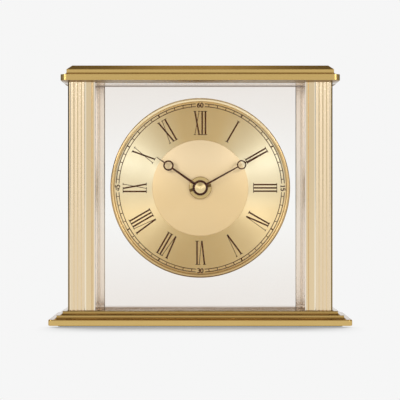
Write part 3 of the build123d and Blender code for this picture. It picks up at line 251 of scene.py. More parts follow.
def dial_place_group():
    """Place on the dial: height above its middle, and the share of the distance from the middle that runs
    sideways."""
    tree, given, gives = new_group("dial_place", [("Vector", VECTOR)], [("Height", NUMBER), ("Side", NUMBER)])
    at = axes(tree, given["Vector"])
    across = unsigned(tree, calc(tree, "SUBTRACT", at["X"], DIAL_X))
    height = calc(tree, "SUBTRACT", at["Z"], DIAL_Z)
    square = calc(tree, "ADD", product(tree, across, across), product(tree, height, height))
    tree.links.new(height, gives["Height"])
    tree.links.new(calc(tree, "DIVIDE", across, calc(tree, "SQRT", square)), gives["Side"])
    return tree


FINE_LINES = fine_lines_group()
HANDLING = handling_group()
WORN_EDGES = worn_edges_group()
SETTLED_DUST = settled_dust_group()
MOULDED = moulded_group()
ROOM = room_group()
FACING = facing_group()
DIAL_PLACE = dial_place_group()


def use(tree, group, values):
    """One use of a shared group in a material."""
    return put(tree, "ShaderNodeGroup", values, node_tree=group).outputs


def looking(tree, lean):
    """Share of the face that looks up or down past a step of its normal's height."""
    return use(tree, FACING, {"From": lean[0], "To": lean[1]})["Share"]


def in_room(tree, place):
    """Share of a place that lies in the room behind the front pane."""
    return use(tree, ROOM, {"Vector": place})["Room"]


# Where painted light and shade, clear lacquer and matt strips lie on single pieces; lengths in metres

BASE_REACH = 0.02, 0.03
# Painted highlight on faces that look up; painted shade on the tiers, on the floor of the room and on the strip ahead
# of the front pane.
TOP_LEAN, TOP_SHARE, TOP_HIGHLIGHT_TONE = (0.25, 0.6), 0.55, tone(255, 205, 129)
TIER_STEP, TIER_SHARE, TIER_SHADE_TONE = (0.0048, 0.0052), 0.34, tone(142, 108, 54)
FLOOR_FADE, FLOOR_SHARE, ROOM_FLOOR_SHADE_TONE = 0.001, 0.6, tone(148, 118, 66)
STRIP_LOW, STRIP_HIGH, STRIP_SHARE, STRIP_SHADE_TONE = 0.0006, 0.0004, 0.6, tone(104, 76, 36)


def painted_case_light_and_shade(tree, place, colour):
    """Case brass: a painted highlight where the face looks up. On the base painted shade darkens it above the slab,
    more so on the floor of the room, and most on the strip of the top tier ahead of the front pane: steps of the
    height and the depth."""
    at = axes(tree, place)
    base = falling(tree, at["Z"], *BASE_REACH)
    tiers = product(tree, base, rising(tree, at["Z"], *TIER_STEP, TIER_SHARE))
    floor = rising(tree, at["Z"], PANE_LOW.z - FLOOR_FADE, PANE_LOW.z, FLOOR_SHARE)
    floor = product(tree, base, floor, in_room(tree, place))
    strip = rising(tree, at["Z"], PILLAR_LOW.z - STRIP_LOW, PILLAR_LOW.z - STRIP_HIGH, STRIP_SHARE)
    strip = product(tree, base, strip, falling(tree, at["Y"], PANE_LOW.y, PANE_LOW.y + FLOOR_FADE))
    colour = blend_tones(tree, product(tree, looking(tree, TOP_LEAN), TOP_SHARE), colour, TOP_HIGHLIGHT_TONE)
    colour = blend_tones(tree, tiers, colour, TIER_SHADE_TONE)
    colour = blend_tones(tree, floor, colour, ROOM_FLOOR_SHADE_TONE)
    return blend_tones(tree, strip, colour, STRIP_SHADE_TONE)


LACQUER_LEAN = 0.9, 0.98
LACQUER_FADE = 0.001
LACQUER_REAR = 0.0105, 0.0125


def end_lacquer(tree, place):
    """Clear lacquer on the base's tops outside the pillars and behind the dial: steps of the place where the face
    looks up."""
    at = axes(tree, place)
    up = product(tree, looking(tree, LACQUER_LEAN), falling(tree, at["Z"], *BASE_REACH))
    ends = rising(tree, unsigned(tree, at["X"]), PILLAR_HIGH.x, PILLAR_HIGH.x + LACQUER_FADE)
    rear = rising(tree, at["Y"], *LACQUER_REAR)
    return product(tree, up, calc(tree, "MAXIMUM", ends, rear))


CEILING_LEAN = -0.5, -0.8
CEILING_FRONT = -0.0095, -0.008
CEILING_REAR = 0.006, 0.008
# Painted shade on the underside, and painted reflection on the ceiling of the room, duller behind the dial.
CEILING_SHADE_TONE = tone(146, 122, 84)
CEILING_REFLECTION_TONE, REAR_CEILING_REFLECTION_TONE = tone(255, 246, 236), tone(176, 162, 152)
FRONT_MATT, REAR_MATT = 0.13, 0.36


def painted_ceiling_reflection_and_shade(tree, place, colour):
    """Painted reflection, pale, on the ceiling of the room, duller behind the dial, and painted shade on the rest of
    the underside.
    """
    along = axes(tree, place)["Y"]
    down = looking(tree, CEILING_LEAN)
    ceiling_reflection = blend_tones(tree, rising(tree, along, *CEILING_REAR), CEILING_REFLECTION_TONE, REAR_CEILING_REFLECTION_TONE)
    reflected = product(tree, down, in_room(tree, place), rising(tree, along, *CEILING_FRONT))
    return blend_tones(tree, reflected, blend_tones(tree, down, colour, CEILING_SHADE_TONE), ceiling_reflection)


def matt_ceiling(tree, place):
    """Matt strips along the front and the rear of the underside: steps of the depth where the face looks down."""
    along = axes(tree, place)["Y"]
    front = falling(tree, along, *CEILING_FRONT, FRONT_MATT)
    rear = rising(tree, along, *CEILING_REAR, REAR_MATT)
    return product(tree, looking(tree, CEILING_LEAN), calc(tree, "ADD", front, rear))


# Depths behind the pillar's front, widths in from its outer side and out from its inner wall.
FRONT_SKIN, VALLEY_DEPTH, NOTCH_DEPTH = (0.0015, 0.002), (0.0003, 0.0005), (0.0006, 0.0007)
OUTER_EDGE, REEDS_START, REEDS_END = (0.0009, 0.0013), (0.0013, 0.0015), (0.0112, 0.0119)
WALL_SKIN, NOTCH_REACH = (0.0003, 0.0007), (0.003, 0.004)
# Painted highlights on the reeds, the valleys and the notch, painted shade along the outer front edge and painted
# reflection on the inner wall.
REED_SHARE, NOTCH_SHARE = 0.6, 0.45
REED_HIGHLIGHT_TONE, VALLEY_HIGHLIGHT_TONE = tone(234, 214, 184), tone(249, 238, 213)
OUTER_EDGE_SHADE_TONE, WALL_REFLECTION_TONE = tone(132, 108, 66), tone(252, 243, 231)


def painted_pillar_light_and_shade(tree, place, colour):
    """Painted reflection, pale, on the inner wall of a pillar, painted highlights on the reeds, in the valleys
    between them and in the notch by the inner wall, and painted shade along the outer front edge: steps of the
    distance from the middle of the clock and of the depth."""
    at = axes(tree, place)
    across = unsigned(tree, at["X"])
    depth = calc(tree, "SUBTRACT", at["Y"], PILLAR_LOW.y)
    inward = calc(tree, "SUBTRACT", PILLAR_HIGH.x, across)
    outward = calc(tree, "SUBTRACT", across, PILLAR_LOW.x)
    front = falling(tree, depth, *FRONT_SKIN)
    edge = product(tree, front, falling(tree, inward, *OUTER_EDGE))
    reeds = product(tree, front, rising(tree, inward, *REEDS_START), falling(tree, inward, *REEDS_END))
    valley = product(tree, reeds, rising(tree, depth, *VALLEY_DEPTH))
    notch = rising(tree, depth, *NOTCH_DEPTH, NOTCH_SHARE)
    notch = product(tree, front, notch, falling(tree, outward, *NOTCH_REACH))
    colour = blend_tones(tree, product(tree, reeds, REED_SHARE), colour, REED_HIGHLIGHT_TONE)
    colour = blend_tones(tree, calc(tree, "MAXIMUM", valley, notch), colour, VALLEY_HIGHLIGHT_TONE)
    colour = blend_tones(tree, edge, colour, OUTER_EDGE_SHADE_TONE)
    return blend_tones(tree, falling(tree, outward, *WALL_SKIN), colour, WALL_REFLECTION_TONE)


GROOVE_DEPTH = 0.0004, 0.0006
GROOVE_FADE = 0.0001
# Painted shade on the inner edge of a rear bead, less in its groove.
BEAD_EDGE_SHADE_TONE, GROOVE_SHADE_TONE = tone(184, 168, 148), tone(230, 216, 200)


def painted_bead_shade(tree, place, colour):
    """Painted shade on the inner edge of a rear bead, less in its groove: steps of the depth and of the distance
    from the middle of the clock."""
    at = axes(tree, place)
    middle = (BEAD_LOW.x + BEAD_HIGH.x) / -2
    groove = rising(tree, unsigned(tree, at["X"]), middle, middle + GROOVE_FADE)
    sunk = rising(tree, calc(tree, "SUBTRACT", at["Y"], BEAD_LOW.y), *GROOVE_DEPTH)
    return blend_tones(tree, sunk, colour, blend_tones(tree, groove, BEAD_EDGE_SHADE_TONE, GROOVE_SHADE_TONE))


# Painted highlights on the top of the rim, the upper centre and the chapter ring towards three and nine; painted
# shade at the centre's sides.
RIM_TOP, RIM_HIGHLIGHT_TONE = (0.025, 0.048), tone(255, 237, 195)
CENTRE_TOP, CENTRE_HIGHLIGHT_TONE = (-0.006, 0.018), tone(236, 214, 176)
CENTRE_SIDE, CENTRE_SIDE_SHARE, CENTRE_SIDE_SHADE_TONE = (0.7, 1.0), 0.6, tone(221, 195, 148)
CHAPTER_SIDE, CHAPTER_HIGHLIGHT_TONE = (0.3, 0.95), tone(250, 240, 208)
CHAPTER_UPPER = -0.015, 0.015, 0.35, 1.0


def painted_rim_highlight(tree, place, colour):
    """Painted highlight along the top of the rim: a step of the height on the dial."""
    height = use(tree, DIAL_PLACE, {"Vector": place})["Height"]
    return blend_tones(tree, rising(tree, height, *RIM_TOP), colour, RIM_HIGHLIGHT_TONE)


def painted_centre_light_and_shade(tree, place, colour):
    """Painted highlight on the upper half of the centre and painted shade at its sides: slow steps of the place on
    the dial.
    """
    where = use(tree, DIAL_PLACE, {"Vector": place})
    colour = blend_tones(tree, rising(tree, where["Height"], *CENTRE_TOP), colour, CENTRE_HIGHLIGHT_TONE)
    side = rising(tree, where["Side"], *CENTRE_SIDE, CENTRE_SIDE_SHARE)
    return blend_tones(tree, side, colour, CENTRE_SIDE_SHADE_TONE)


def painted_chapter_highlight(tree, place, colour):
    """Painted highlight towards three and nine, most in the upper half: slow steps of the place on the dial."""
    where = use(tree, DIAL_PLACE, {"Vector": place})
    upper = span(tree, where["Height"], *CHAPTER_UPPER)
    side = product(tree, rising(tree, where["Side"], *CHAPTER_SIDE), upper)
    return blend_tones(tree, side, colour, CHAPTER_HIGHLIGHT_TONE)


# Painted shade in the nut's slots.
SLOT_DEPTH, SLOT_SHADE_TONE = (0.0004, 0.0012), tone(112, 84, 40)


def painted_slot_shade(tree, place, colour):
    """Painted shade in the sunk slots of the nut: a step of the depth behind its front."""
    depth = calc(tree, "SUBTRACT", axes(tree, place)["Y"], NUT_FRONT)
    return blend_tones(tree, rising(tree, depth, *SLOT_DEPTH), colour, SLOT_SHADE_TONE)


# Finishes

# Stretch of the brushed lines, in waves per metre along each axis.
ACROSS = (25.0, 2600.0, 2600.0)
UPRIGHT = (2600.0, 2600.0, 20.0)
FLAT = (300.0, 300.0, 300.0)

BEVEL_SAMPLES = 6
EDGE_RADIUS, CRISP_EDGE, SOFT_EDGE = 0.00025, 0.00005, 0.0005
FINE_DEPTH = 0.00005
SMEAR_SHARE, SPOT_SHARE, WORN_SHARE, DUST_SHARE = 0.16, 0.2, 0.3, 0.12
SMEAR_MATT, LINE_MATT, DUST_MATT = 0.05, 0.1, 0.1
DUST_TONE = tone(214, 208, 196)
RUBBED_SHARE, RUBBED_GLOSS = 0.5, -0.1


def new_material(name):
    """Material with one main shader; gives the material, its tree, the shader and its object coordinates."""
    made = bpy.data.materials.new(name)
    made.use_nodes = True
    tree = made.node_tree
    shader = tree.nodes["Principled BSDF"]
    place = put(tree, "ShaderNodeTexCoord").outputs["Object"]
    return made, tree, shader, place


def rounded_edges(tree, radius):
    """Normal that turns smoothly over edges."""
    return put(tree, "ShaderNodeBevel", {"Radius": radius}, samples=BEVEL_SAMPLES).outputs["Normal"]


def metal(name, bright, deep, roughness, stretch, lines=0.3, scratch=0.03, edge=EDGE_RADIUS, smear=1.0, dusty=False,
          rule=None, matt=None, coat=None, tangent=None, plain=None):
    """Metal: brushed lines shift colour, roughness and height a little, smears dull it, edges are polished bright.

    The rule changes the colour by place, and matt and coat add roughness and clear lacquer by place.
    """
    made, tree, shader, place = new_material(name)
    rounded = rounded_edges(tree, edge)
    line = use(tree, FINE_LINES, {"Vector": place, "Stretch": stretch})["Lines"]
    hand = use(tree, HANDLING, {"Vector": place})
    worn = use(tree, WORN_EDGES, {"Vector": place, "Rounded": rounded})["Edge"]
    colour = blend_tones(tree, product(tree, line, lines), bright, deep)
    colour = blend_tones(tree, product(tree, hand["Smear"], SMEAR_SHARE * smear), colour, deep)
    colour = blend_tones(tree, product(tree, hand["Spots"], SPOT_SHARE), colour, deep)
    colour = blend_tones(tree, product(tree, worn, WORN_SHARE), colour, bright)
    rough = raised(tree, roughness, hand["Smear"], SMEAR_MATT * smear)
    rough = raised(tree, rough, line, LINE_MATT * lines)
    if dusty:
        dust = use(tree, SETTLED_DUST, {"Vector": place})["Dust"]
        colour = blend_tones(tree, product(tree, dust, DUST_SHARE), colour, DUST_TONE)
        rough = raised(tree, rough, dust, DUST_MATT)
    if rule:
        colour = rule(tree, place, colour)
    if matt:
        rough = calc(tree, "ADD", rough, matt(tree, place))
    if coat:
        wire(tree, shader, {"Coat Weight": coat(tree, place)})
    if tangent:
        turning = {"direction_type": "RADIAL", "axis": "Y"}
        mapped = {"direction_type": "UV_MAP", "uv_map": tangent}
        along = put(tree, "ShaderNodeTangent", **(turning if tangent == "axis" else mapped))
        wire(tree, shader, {"Tangent": along.outputs[0]})
    normal = bumped(tree, line, scratch, FINE_DEPTH, Normal=rounded)
    wire(tree, shader, {"Base Color": colour, "Roughness": rough, "Normal": normal})
    set_plain(shader, {"Metallic": 1.0, **(plain or {})})
    return made


def plastic(name, light, dark, roughness, grain=0.25, plain=None):
    """Moulded plastic or paint: grain in the bump, slow waves in the colour, handled patches glossier, rubbed edges
    paler."""
    made, tree, shader, place = new_material(name)
    rounded = rounded_edges(tree, EDGE_RADIUS)
    skin = use(tree, MOULDED, {"Vector": place})
    smear = use(tree, HANDLING, {"Vector": place})["Smear"]
    worn = use(tree, WORN_EDGES, {"Vector": place, "Rounded": rounded})["Edge"]
    colour = blend_tones(tree, skin["Wave"], dark, light)
    colour = blend_tones(tree, product(tree, worn, RUBBED_SHARE), colour, light)
    rough = raised(tree, roughness, smear, RUBBED_GLOSS)
    normal = bumped(tree, skin["Grain"], grain, FINE_DEPTH, Normal=rounded)
    wire(tree, shader, {"Base Color": colour, "Roughness": rough, "Normal": normal})
    set_plain(shader, plain or {})
    return made


# Painted reflection of the brass: a warm tint towards the top and bottom of the panes.
GLASS_REFLECTION_FADE = 0.015, 0.07
GLASS_TINT, GLASS_REFLECTION_TINT = (1.0, 1.0, 0.99, 1.0), (0.95, 0.925, 0.9, 1.0)
GLASS_SMEAR_TINT, GLASS_SMEAR_SHARE, GLASS_SMEAR_MATT = (0.97, 0.975, 0.97, 1.0), 0.15, 0.012


def clear_glass():
    """Float glass: faint smears in the roughness, and a warm tint, a painted reflection of the brass, that grows with
    the distance from mid height.
    """
    made, tree, shader, place = new_material("clear_pane")
    smear = use(tree, HANDLING, {"Vector": place})["Smear"]
    height = axes(tree, place)["Z"]
    away = unsigned(tree, calc(tree, "SUBTRACT", height, (PANE_LOW.z + PANE_HIGH.z) / 2))
    tint = blend_tones(tree, rising(tree, away, *GLASS_REFLECTION_FADE), GLASS_TINT, GLASS_REFLECTION_TINT)
    tint = blend_tones(tree, product(tree, smear, GLASS_SMEAR_SHARE), tint, GLASS_SMEAR_TINT)
    wire(tree, shader, {"Base Color": tint, "Roughness": product(tree, smear, GLASS_SMEAR_MATT)})
    set_plain(shader, {"IOR": 1.22, "Transmission Weight": 1.0})
    path = put(tree, "ShaderNodeLightPath").outputs
    mirrored = calc(tree, "SUBTRACT", path["Is Glossy Ray"], path["Is Transmission Ray"])
    soft = calc(tree, "MAXIMUM", path["Is Diffuse Ray"], mirrored)
    soft = calc(tree, "MAXIMUM", path["Is Shadow Ray"], soft)
    through = put(tree, "ShaderNodeBsdfTransparent").outputs[0]
    both = put(tree, "ShaderNodeMixShader", {0: soft, 1: shader.outputs[0], 2: through})
    tree.links.new(both.outputs[0], tree.nodes["Material Output"].inputs["Surface"])
    return made


FELT_NOISE, FELT_DEPTH = (0.1, 0.45), 0.0002
FELT_DARK, FELT_LIGHT = tone(18, 30, 22), tone(44, 66, 50)


def felt():
    """Felt: tangled fibres from two crossed noises, in colour and height, with a plain sheen."""
    made, tree, shader, place = new_material("green_felt")
    fibres = noise(tree, place, scale=1800.0, detail=6.0, Distortion=3.0)
    mixed = product(tree, fibres, noise(tree, place, scale=240.0, detail=3.0))
    colour = blend_tones(tree, rising(tree, mixed, *FELT_NOISE), FELT_DARK, FELT_LIGHT)
    wire(tree, shader, {"Base Color": colour, "Normal": bumped(tree, mixed, strength=0.8, distance=FELT_DEPTH)})
    set_plain(shader, {"Roughness": 0.95, "Sheen Weight": 0.4, "Sheen Roughness": 0.4})
    return made


WIRE_WAVES, WIRE_DEPTH = 1200.0, 0.0001
WIRE_DARK, WIRE_LIGHT = tone(96, 44, 18), tone(206, 122, 66)


def wound_wire():
    """Fine enamelled wire: a sine of the height gives one ridge per turn."""
    made, tree, shader, place = new_material("wound_wire")
    values = {"Vector": place, "Scale": WIRE_WAVES, "Distortion": 0.3}
    turns = put(tree, "ShaderNodeTexWave", values, bands_direction="Z").outputs["Fac"]
    colour = blend_tones(tree, turns, WIRE_DARK, WIRE_LIGHT)
    wire(tree, shader, {"Base Color": colour, "Normal": bumped(tree, turns, strength=0.6, distance=WIRE_DEPTH)})
    set_plain(shader, {"Metallic": 0.6, "Roughness": 0.3})
    return made


# Lengths along the cell, in from its pole end and, for the foot, in from its other end.
POLE_STEP, FOOT_STEP = (0.0021, 0.0022), (0.0006, 0.0007)
BAND_START, BAND_END = (0.01, 0.0101), (0.0124, 0.0125)
SLEEVE_DARK, SLEEVE_LIGHT = tone(52, 58, 70), tone(66, 72, 84)
BAND_TONE, CELL_STEEL = tone(196, 198, 200), tone(206, 206, 204)
SLEEVE_ROUGHNESS, SLEEVE_SMEAR = 0.28, 0.1


def cell_sleeve():
    """Round cell: bare steel ends, a grey sleeve and a pale band; the masks are steps of the x place."""
    made, tree, shader, place = new_material("cell_sleeve")
    x = axes(tree, place)["X"]
    skin = use(tree, MOULDED, {"Vector": place})
    smear = use(tree, HANDLING, {"Vector": place})["Smear"]
    inward = calc(tree, "SUBTRACT", CELL_HIGH.x, x)
    pole = falling(tree, inward, *POLE_STEP)
    foot = falling(tree, calc(tree, "SUBTRACT", x, CELL_LOW.x), *FOOT_STEP)
    steel = calc(tree, "MAXIMUM", pole, foot)
    band = product(tree, rising(tree, inward, *BAND_START), falling(tree, inward, *BAND_END))
    colour = blend_tones(tree, skin["Wave"], SLEEVE_DARK, SLEEVE_LIGHT)
    colour = blend_tones(tree, band, colour, BAND_TONE)
    colour = blend_tones(tree, steel, colour, CELL_STEEL)
    rough = raised(tree, SLEEVE_ROUGHNESS, smear, SLEEVE_SMEAR)
    wire(tree, shader, {"Base Color": colour, "Metallic": steel, "Roughness": rough})
    return made


MASK_TONE, TRACK_TONE = tone(22, 84, 44), tone(60, 128, 70)


def circuit_board():
    """Board: tracks where a brick pattern has its joints, under a green mask."""
    made, tree, shader, place = new_material("circuit_board")
    upright = put(tree, "ShaderNodeMapping", {"Vector": place, "Rotation": (math.pi / 2, 0, 0)}).outputs[0]
    bricks = put(tree, "ShaderNodeTexBrick", {"Vector": upright, "Scale": 420.0, "Mortar Size": 0.06})
    joint = bricks.outputs["Fac"]
    colour = blend_tones(tree, joint, MASK_TONE, TRACK_TONE)
    wire(tree, shader, {"Base Color": colour, "Normal": bumped(tree, joint, strength=0.3, distance=FINE_DEPTH)})
    set_plain(shader, {"Roughness": 0.35, "Coat Weight": 0.3})
    return made


CASE_LOOK = {
    "bright": tone(213, 182, 116), "deep": tone(196, 162, 94), "roughness": 0.13, "stretch": ACROSS, "lines": 0.25,
    "scratch": 0.012,
}
SMOOTH = {"scratch": 0.0, "edge": CRISP_EDGE}

finishes = {
    "case_brass": metal(
        "case_brass", **CASE_LOOK, edge=SOFT_EDGE, dusty=True, rule=painted_case_light_and_shade, coat=end_lacquer,
        plain={"Specular Tint": (0.55, 0.45, 0.35, 1.0)},
    ),
    "pillar_brass": metal(
        "pillar_brass", tone(230, 208, 169), tone(220, 195, 152), 0.12, UPRIGHT, lines=0.04, smear=0.12,
        rule=painted_pillar_light_and_shade, **SMOOTH,
    ),
    "champagne_strip": metal(
        "champagne_strip", tone(241, 229, 215), tone(236, 222, 206), 0.2, UPRIGHT, lines=0.05, rule=painted_bead_shade,
        **SMOOTH,
    ),
    "clear_glass": clear_glass(),
    "dial_brass": metal("plain_dial_back", tone(226, 202, 156), tone(206, 176, 124), 0.4, FLAT),
    "rim_brass": metal("rim_brass", tone(211, 182, 130), tone(198, 166, 112), 0.32, FLAT, lines=0.1, rule=painted_rim_highlight),
    "hub_brass": metal("hub_brass", tone(230, 206, 158), tone(206, 178, 126), 0.24, FLAT),
    "hand_brown": plastic("hand_brown", tone(80, 36, 5), tone(60, 24, 2), 0.4, 0.05, {"Specular IOR Level": 0.1}),
    "felt": felt(),
    "painted_plate": plastic("painted_plate", tone(44, 44, 44), tone(26, 26, 26), 0.5),
    "steel_fastener": metal("zinc_steel", tone(206, 206, 204), tone(170, 170, 168), 0.3, FLAT),
    "black_rubber": plastic("black_rubber", tone(40, 40, 40), tone(24, 24, 24), 0.75, 0.5),
    "black_plastic": plastic("black_plastic", tone(44, 44, 46), tone(27, 27, 29), 0.5, 0.5),
    "white_plastic": plastic("white_plastic", tone(244, 242, 234), tone(230, 226, 214), 0.32, 0.1),
    "spring_steel": metal("spring_steel", tone(224, 224, 222), tone(190, 190, 188), 0.2, FLAT),
    "magnet": metal("sintered_magnet", tone(110, 110, 114), tone(78, 78, 82), 0.45, FLAT),
    "iron_sheet": metal("rolled_iron", tone(188, 188, 190), tone(150, 150, 152), 0.35, UPRIGHT),
    "copper_wire": wound_wire(),
    "board": circuit_board(),
    "crystal_can": metal("drawn_can", tone(226, 226, 226), tone(190, 190, 190), 0.18, ACROSS),
    "chip_black": plastic("chip_black", tone(42, 42, 42), tone(26, 26, 26), 0.6, 0.4),
    "cell_sleeve": cell_sleeve(),
}
for row in frame["record"]["subparts"]:
    piece = nodes[row["node"]]
    piece.data.materials.clear()
    piece.data.materials.append(finishes[row["material_slot"]])

# Nodes whose finish differs from the rest of their slot.
own_finishes = {
    "fixing_nut": metal("nut_brass", tone(212, 186, 128), tone(186, 156, 98), 0.26, FLAT, rule=painted_slot_shade),
    "hand_cap": metal(
        "spun_cap", tone(244, 222, 172), tone(222, 194, 140), 0.36, FLAT, tangent="axis", plain={"Anisotropic": 0.8},
    ),
    "cap_lower": metal("cap_plate_brass", **CASE_LOOK, rule=painted_ceiling_reflection_and_shade, matt=matt_ceiling),
}
for name, finish in own_finishes.items():
    nodes[name].data.materials[0] = finish

centre_finish = metal(
    "satin_centre", tone(231, 204, 156), tone(222, 192, 140), 0.45, UPRIGHT, lines=0.2, rule=painted_centre_light_and_shade,
)
chapter_finish = metal(
    "spun_chapter", tone(252, 222, 160), tone(244, 208, 142), 0.5, FLAT, lines=0.15, scratch=0.0, rule=painted_chapter_highlight,
    tangent="round", plain={"Anisotropic": 0.95, "Anisotropic Rotation": 0.25},
)
ink_finish = plastic("brown_ink", tone(90, 44, 3), tone(68, 31, 1), 0.6, 0.05, {"Specular IOR Level": 0.03})


# New pieces; lengths in millimetres

def piece_of(name, points, quads, finish, corners=None, bands=None, crease=None, ends=()):
    """Piece from arrays of points in millimetres, of quads and of end faces.

    Corners holds a UV pair per face corner, bands an index into the finishes per face, and crease the angle in
    degrees up to which faces are shaded smooth.
    """
    mesh = bpy.data.meshes.new(name)
    mesh.from_pydata((points.reshape(-1, 3) * MM).tolist(), [], quads.reshape(-1, 4).tolist() + list(ends))
    for one in finish:
        mesh.materials.append(one)
    if bands is not None:
        mesh.polygons.foreach_set("material_index", bands.astype(np.int32).ravel())
    if corners is not None:
        layer = mesh.uv_layers.new(name="round")
        layer.data.foreach_set("uv", corners.astype(np.float32).ravel())
    if crease is not None:
        mesh.polygons.foreach_set("use_smooth", np.ones(len(mesh.polygons), bool))
        mesh.set_sharp_from_angle(angle=math.radians(crease))
    mesh.update()
    made = bpy.data.objects.new(name, mesh)
    scene.collection.objects.link(made)
    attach(made, "case")
    return made


# Dial: depths, with the front towards minus y, and radii.
CENTRE_Y, PRINT_Y, CHAPTER_Y, BACK_Y = -2.0, -1.85, -1.8, -1.0
HOLE, CENTRE_EDGE, CHAPTER_MIDDLE, DIAL_EDGE = 4.0, 30.9, 43.0, 55.95
CENTRE_ROUNDING = (-0.24, 0.0), (-0.08, 0.05), (0.0, 0.15)
DIAL_BEVEL_WIDTH, DIAL_BEVEL_DEPTH = 0.15, 0.1
CENTRE_ROWS, CHAPTER_ROWS, BACK_ROWS = 4, 3, 3
DIAL_STEPS, DIAL_CREASE = 192, 30


def turned(profile, steps):
    """Closed body turned about the dial axis.

    A point (radius, depth) of the closed profile sweeps a ring: x = radius times sine of the turn, z = radius times
    cosine of the turn, y = depth. Rows are profile points and columns are turns, and both wrap round. The UV map
    runs with the turn and with the row.
    """
    rows = len(profile)
    turn = np.arange(steps) * 2 * np.pi / steps
    radius, depth = np.asarray(profile, float).T
    x = DIAL_X / MM + radius[:, None] * np.sin(turn)
    z = DIAL_Z / MM + radius[:, None] * np.cos(turn)
    y = np.broadcast_to(depth[:, None], x.shape)
    i, j = np.meshgrid(np.arange(rows), np.arange(steps), indexing="ij")
    up, on = (i + 1) % rows, (j + 1) % steps
    quads = np.stack([i * steps + j, i * steps + on, up * steps + on, up * steps + j], -1)
    u = np.stack([j, j + 1, j + 1, j], -1) / steps
    v = np.stack([i, i, i + 1, i + 1], -1) / rows
    return np.stack([x, y, z], -1), quads, np.stack([u, v], -1)


def dial_face():
    """Dial plate: a closed profile turned about the dial axis, from the raised satin centre with its softened edge
    over the flat spun chapter ring to the bevelled edge and the back."""
    profile = [
        (HOLE, CENTRE_Y),
        *((CENTRE_EDGE + out, CENTRE_Y + back) for out, back in CENTRE_ROUNDING),
        (CENTRE_EDGE, CHAPTER_Y), (CHAPTER_MIDDLE, CHAPTER_Y), (DIAL_EDGE - DIAL_BEVEL_WIDTH, CHAPTER_Y),
        (DIAL_EDGE, CHAPTER_Y + DIAL_BEVEL_DEPTH), (DIAL_EDGE, BACK_Y), (HOLE, BACK_Y),
    ]
    points, quads, corners = turned(profile, DIAL_STEPS)
    bands = np.repeat([0, 1, 2], [CENTRE_ROWS * DIAL_STEPS, CHAPTER_ROWS * DIAL_STEPS, BACK_ROWS * DIAL_STEPS])
    made = piece_of(
        "dial_face", points, quads, [centre_finish, chapter_finish, finishes["dial_brass"]],
        corners, bands, DIAL_CREASE,
    )
    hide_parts("dial_plate")


BEAD_LIP, BEAD_GROOVE, BEAD_STEP = 0.4, 0.8, 0.9
BEAD_BEVEL_WIDTH, BEAD_BEVEL_DEPTH, BEAD_NOSE, BEAD_DRAFT = 0.45, 0.36, 0.05, 0.03
BEAD_CREASE = 5


def rear_bead(side, node):
    """Glazing bead at the back of a pillar: a closed section (across, depth) carried straight up from foot to head.

    Its front face leans towards the middle of the clock, its inner edge is bevelled, and a groove is left beside the
    pillar.
    """
    low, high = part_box(node)
    wall, inner = max(abs(low.x), abs(high.x)) / MM, min(abs(low.x), abs(high.x)) / MM - BEAD_LIP
    front, back = low.y / MM, high.y / MM
    groove = PILLAR_LOW.x / MM - BEAD_GROOVE
    section = np.array([
        (wall, back), (inner, back), (inner, front + BEAD_STEP),
        (inner + BEAD_BEVEL_WIDTH, front + BEAD_BEVEL_DEPTH), (groove, front + BEAD_NOSE),
        (groove + BEAD_DRAFT, front + BEAD_STEP), (wall, front + BEAD_STEP),
    ])
    count = len(section)
    heights = np.array([low.z, high.z]) / MM
    x, z = np.meshgrid(side * section[:, 0], heights)
    y = np.broadcast_to(section[:, 1], x.shape)
    points = np.stack([x, y, z], -1)
    step = np.arange(count)
    on = (step + 1) % count
    walls = np.stack([step, on, on + count, step + count], -1)
    ends = np.stack([step[::-1], step + count])
    if side < 0:
        walls, ends = walls[:, ::-1], ends[:, ::-1]
    made = piece_of(
        node + "_strip", points, walls, [finishes["champagne_strip"]], crease=BEAD_CREASE,
        ends=ends.tolist(),
    )
    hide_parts(node)


# Print on the dial

def bars(table):
    """Flat bars as quads: each row is both ends and the half widths, and the corners are the ends moved by plus and
    minus the half widths."""
    table = np.asarray(table, float)
    start, end, half = table[:, 0:2], table[:, 2:4], table[:, 4:6]
    return np.stack([start - half, end - half, end + half, start + half], 1)


def swung(flat, degrees):
    """Flat points (across, outward) swung clockwise: across = across times cosine plus outward times sine, outward =
    outward times cosine less across times sine."""
    turn = np.radians(degrees)
    across = flat[..., 0] * np.cos(turn) + flat[..., 1] * np.sin(turn)
    outward = flat[..., 1] * np.cos(turn) - flat[..., 0] * np.sin(turn)
    return np.stack([across, outward], -1)


def on_dial(flat, degrees):
    """Flat points of print swung to a clock angle, about the middle of the dial and at the depth of the print."""
    place = swung(flat, degrees)
    x, z = DIAL_X / MM + place[..., 0], DIAL_Z / MM + place[..., 1]
    return np.stack([x, np.full_like(x, PRINT_Y), z], -1)


def print_piece(name, quads):
    """Printed layer: every quad is turned so that it faces the front, by the sign of its sides' cross product."""
    points = np.concatenate(quads)
    one, two = points[:, 1] - points[:, 0], points[:, 2] - points[:, 0]
    facing = one[:, 2] * two[:, 0] - one[:, 0] * two[:, 2]
    points = np.where((facing > 0)[:, None, None], points[:, ::-1], points)
    piece_of(name, points, np.arange(points.size // 3), [ink_finish])


# Roman hours: radii of the letters' ends, half widths of strokes, half spreads of letters and reaches of serifs.
FOOT, HEAD = 34.1, 49.5
STEM, HAIR, SERIF = 0.5, 0.19, 0.19
FOOT_SERIF, HEAD_SERIF = FOOT + SERIF, HEAD - SERIF
V_SPREAD, V_STEM_TIP, V_HAIR_TIP, X_SPREAD = 1.7, 0.05, 0.25, 1.4
I_REACH, V_REACH, X_REACH, HAIR_REACH = 1.08, 0.95, 0.9, 0.7
LETTER_HALVES = {"I": 1.05, "V": 2.1, "X": 2.3}


def serif(across, outward, reach):
    """Thin bar across the end of a stroke."""
    return (across - reach, outward, across + reach, outward, 0.0, SERIF)


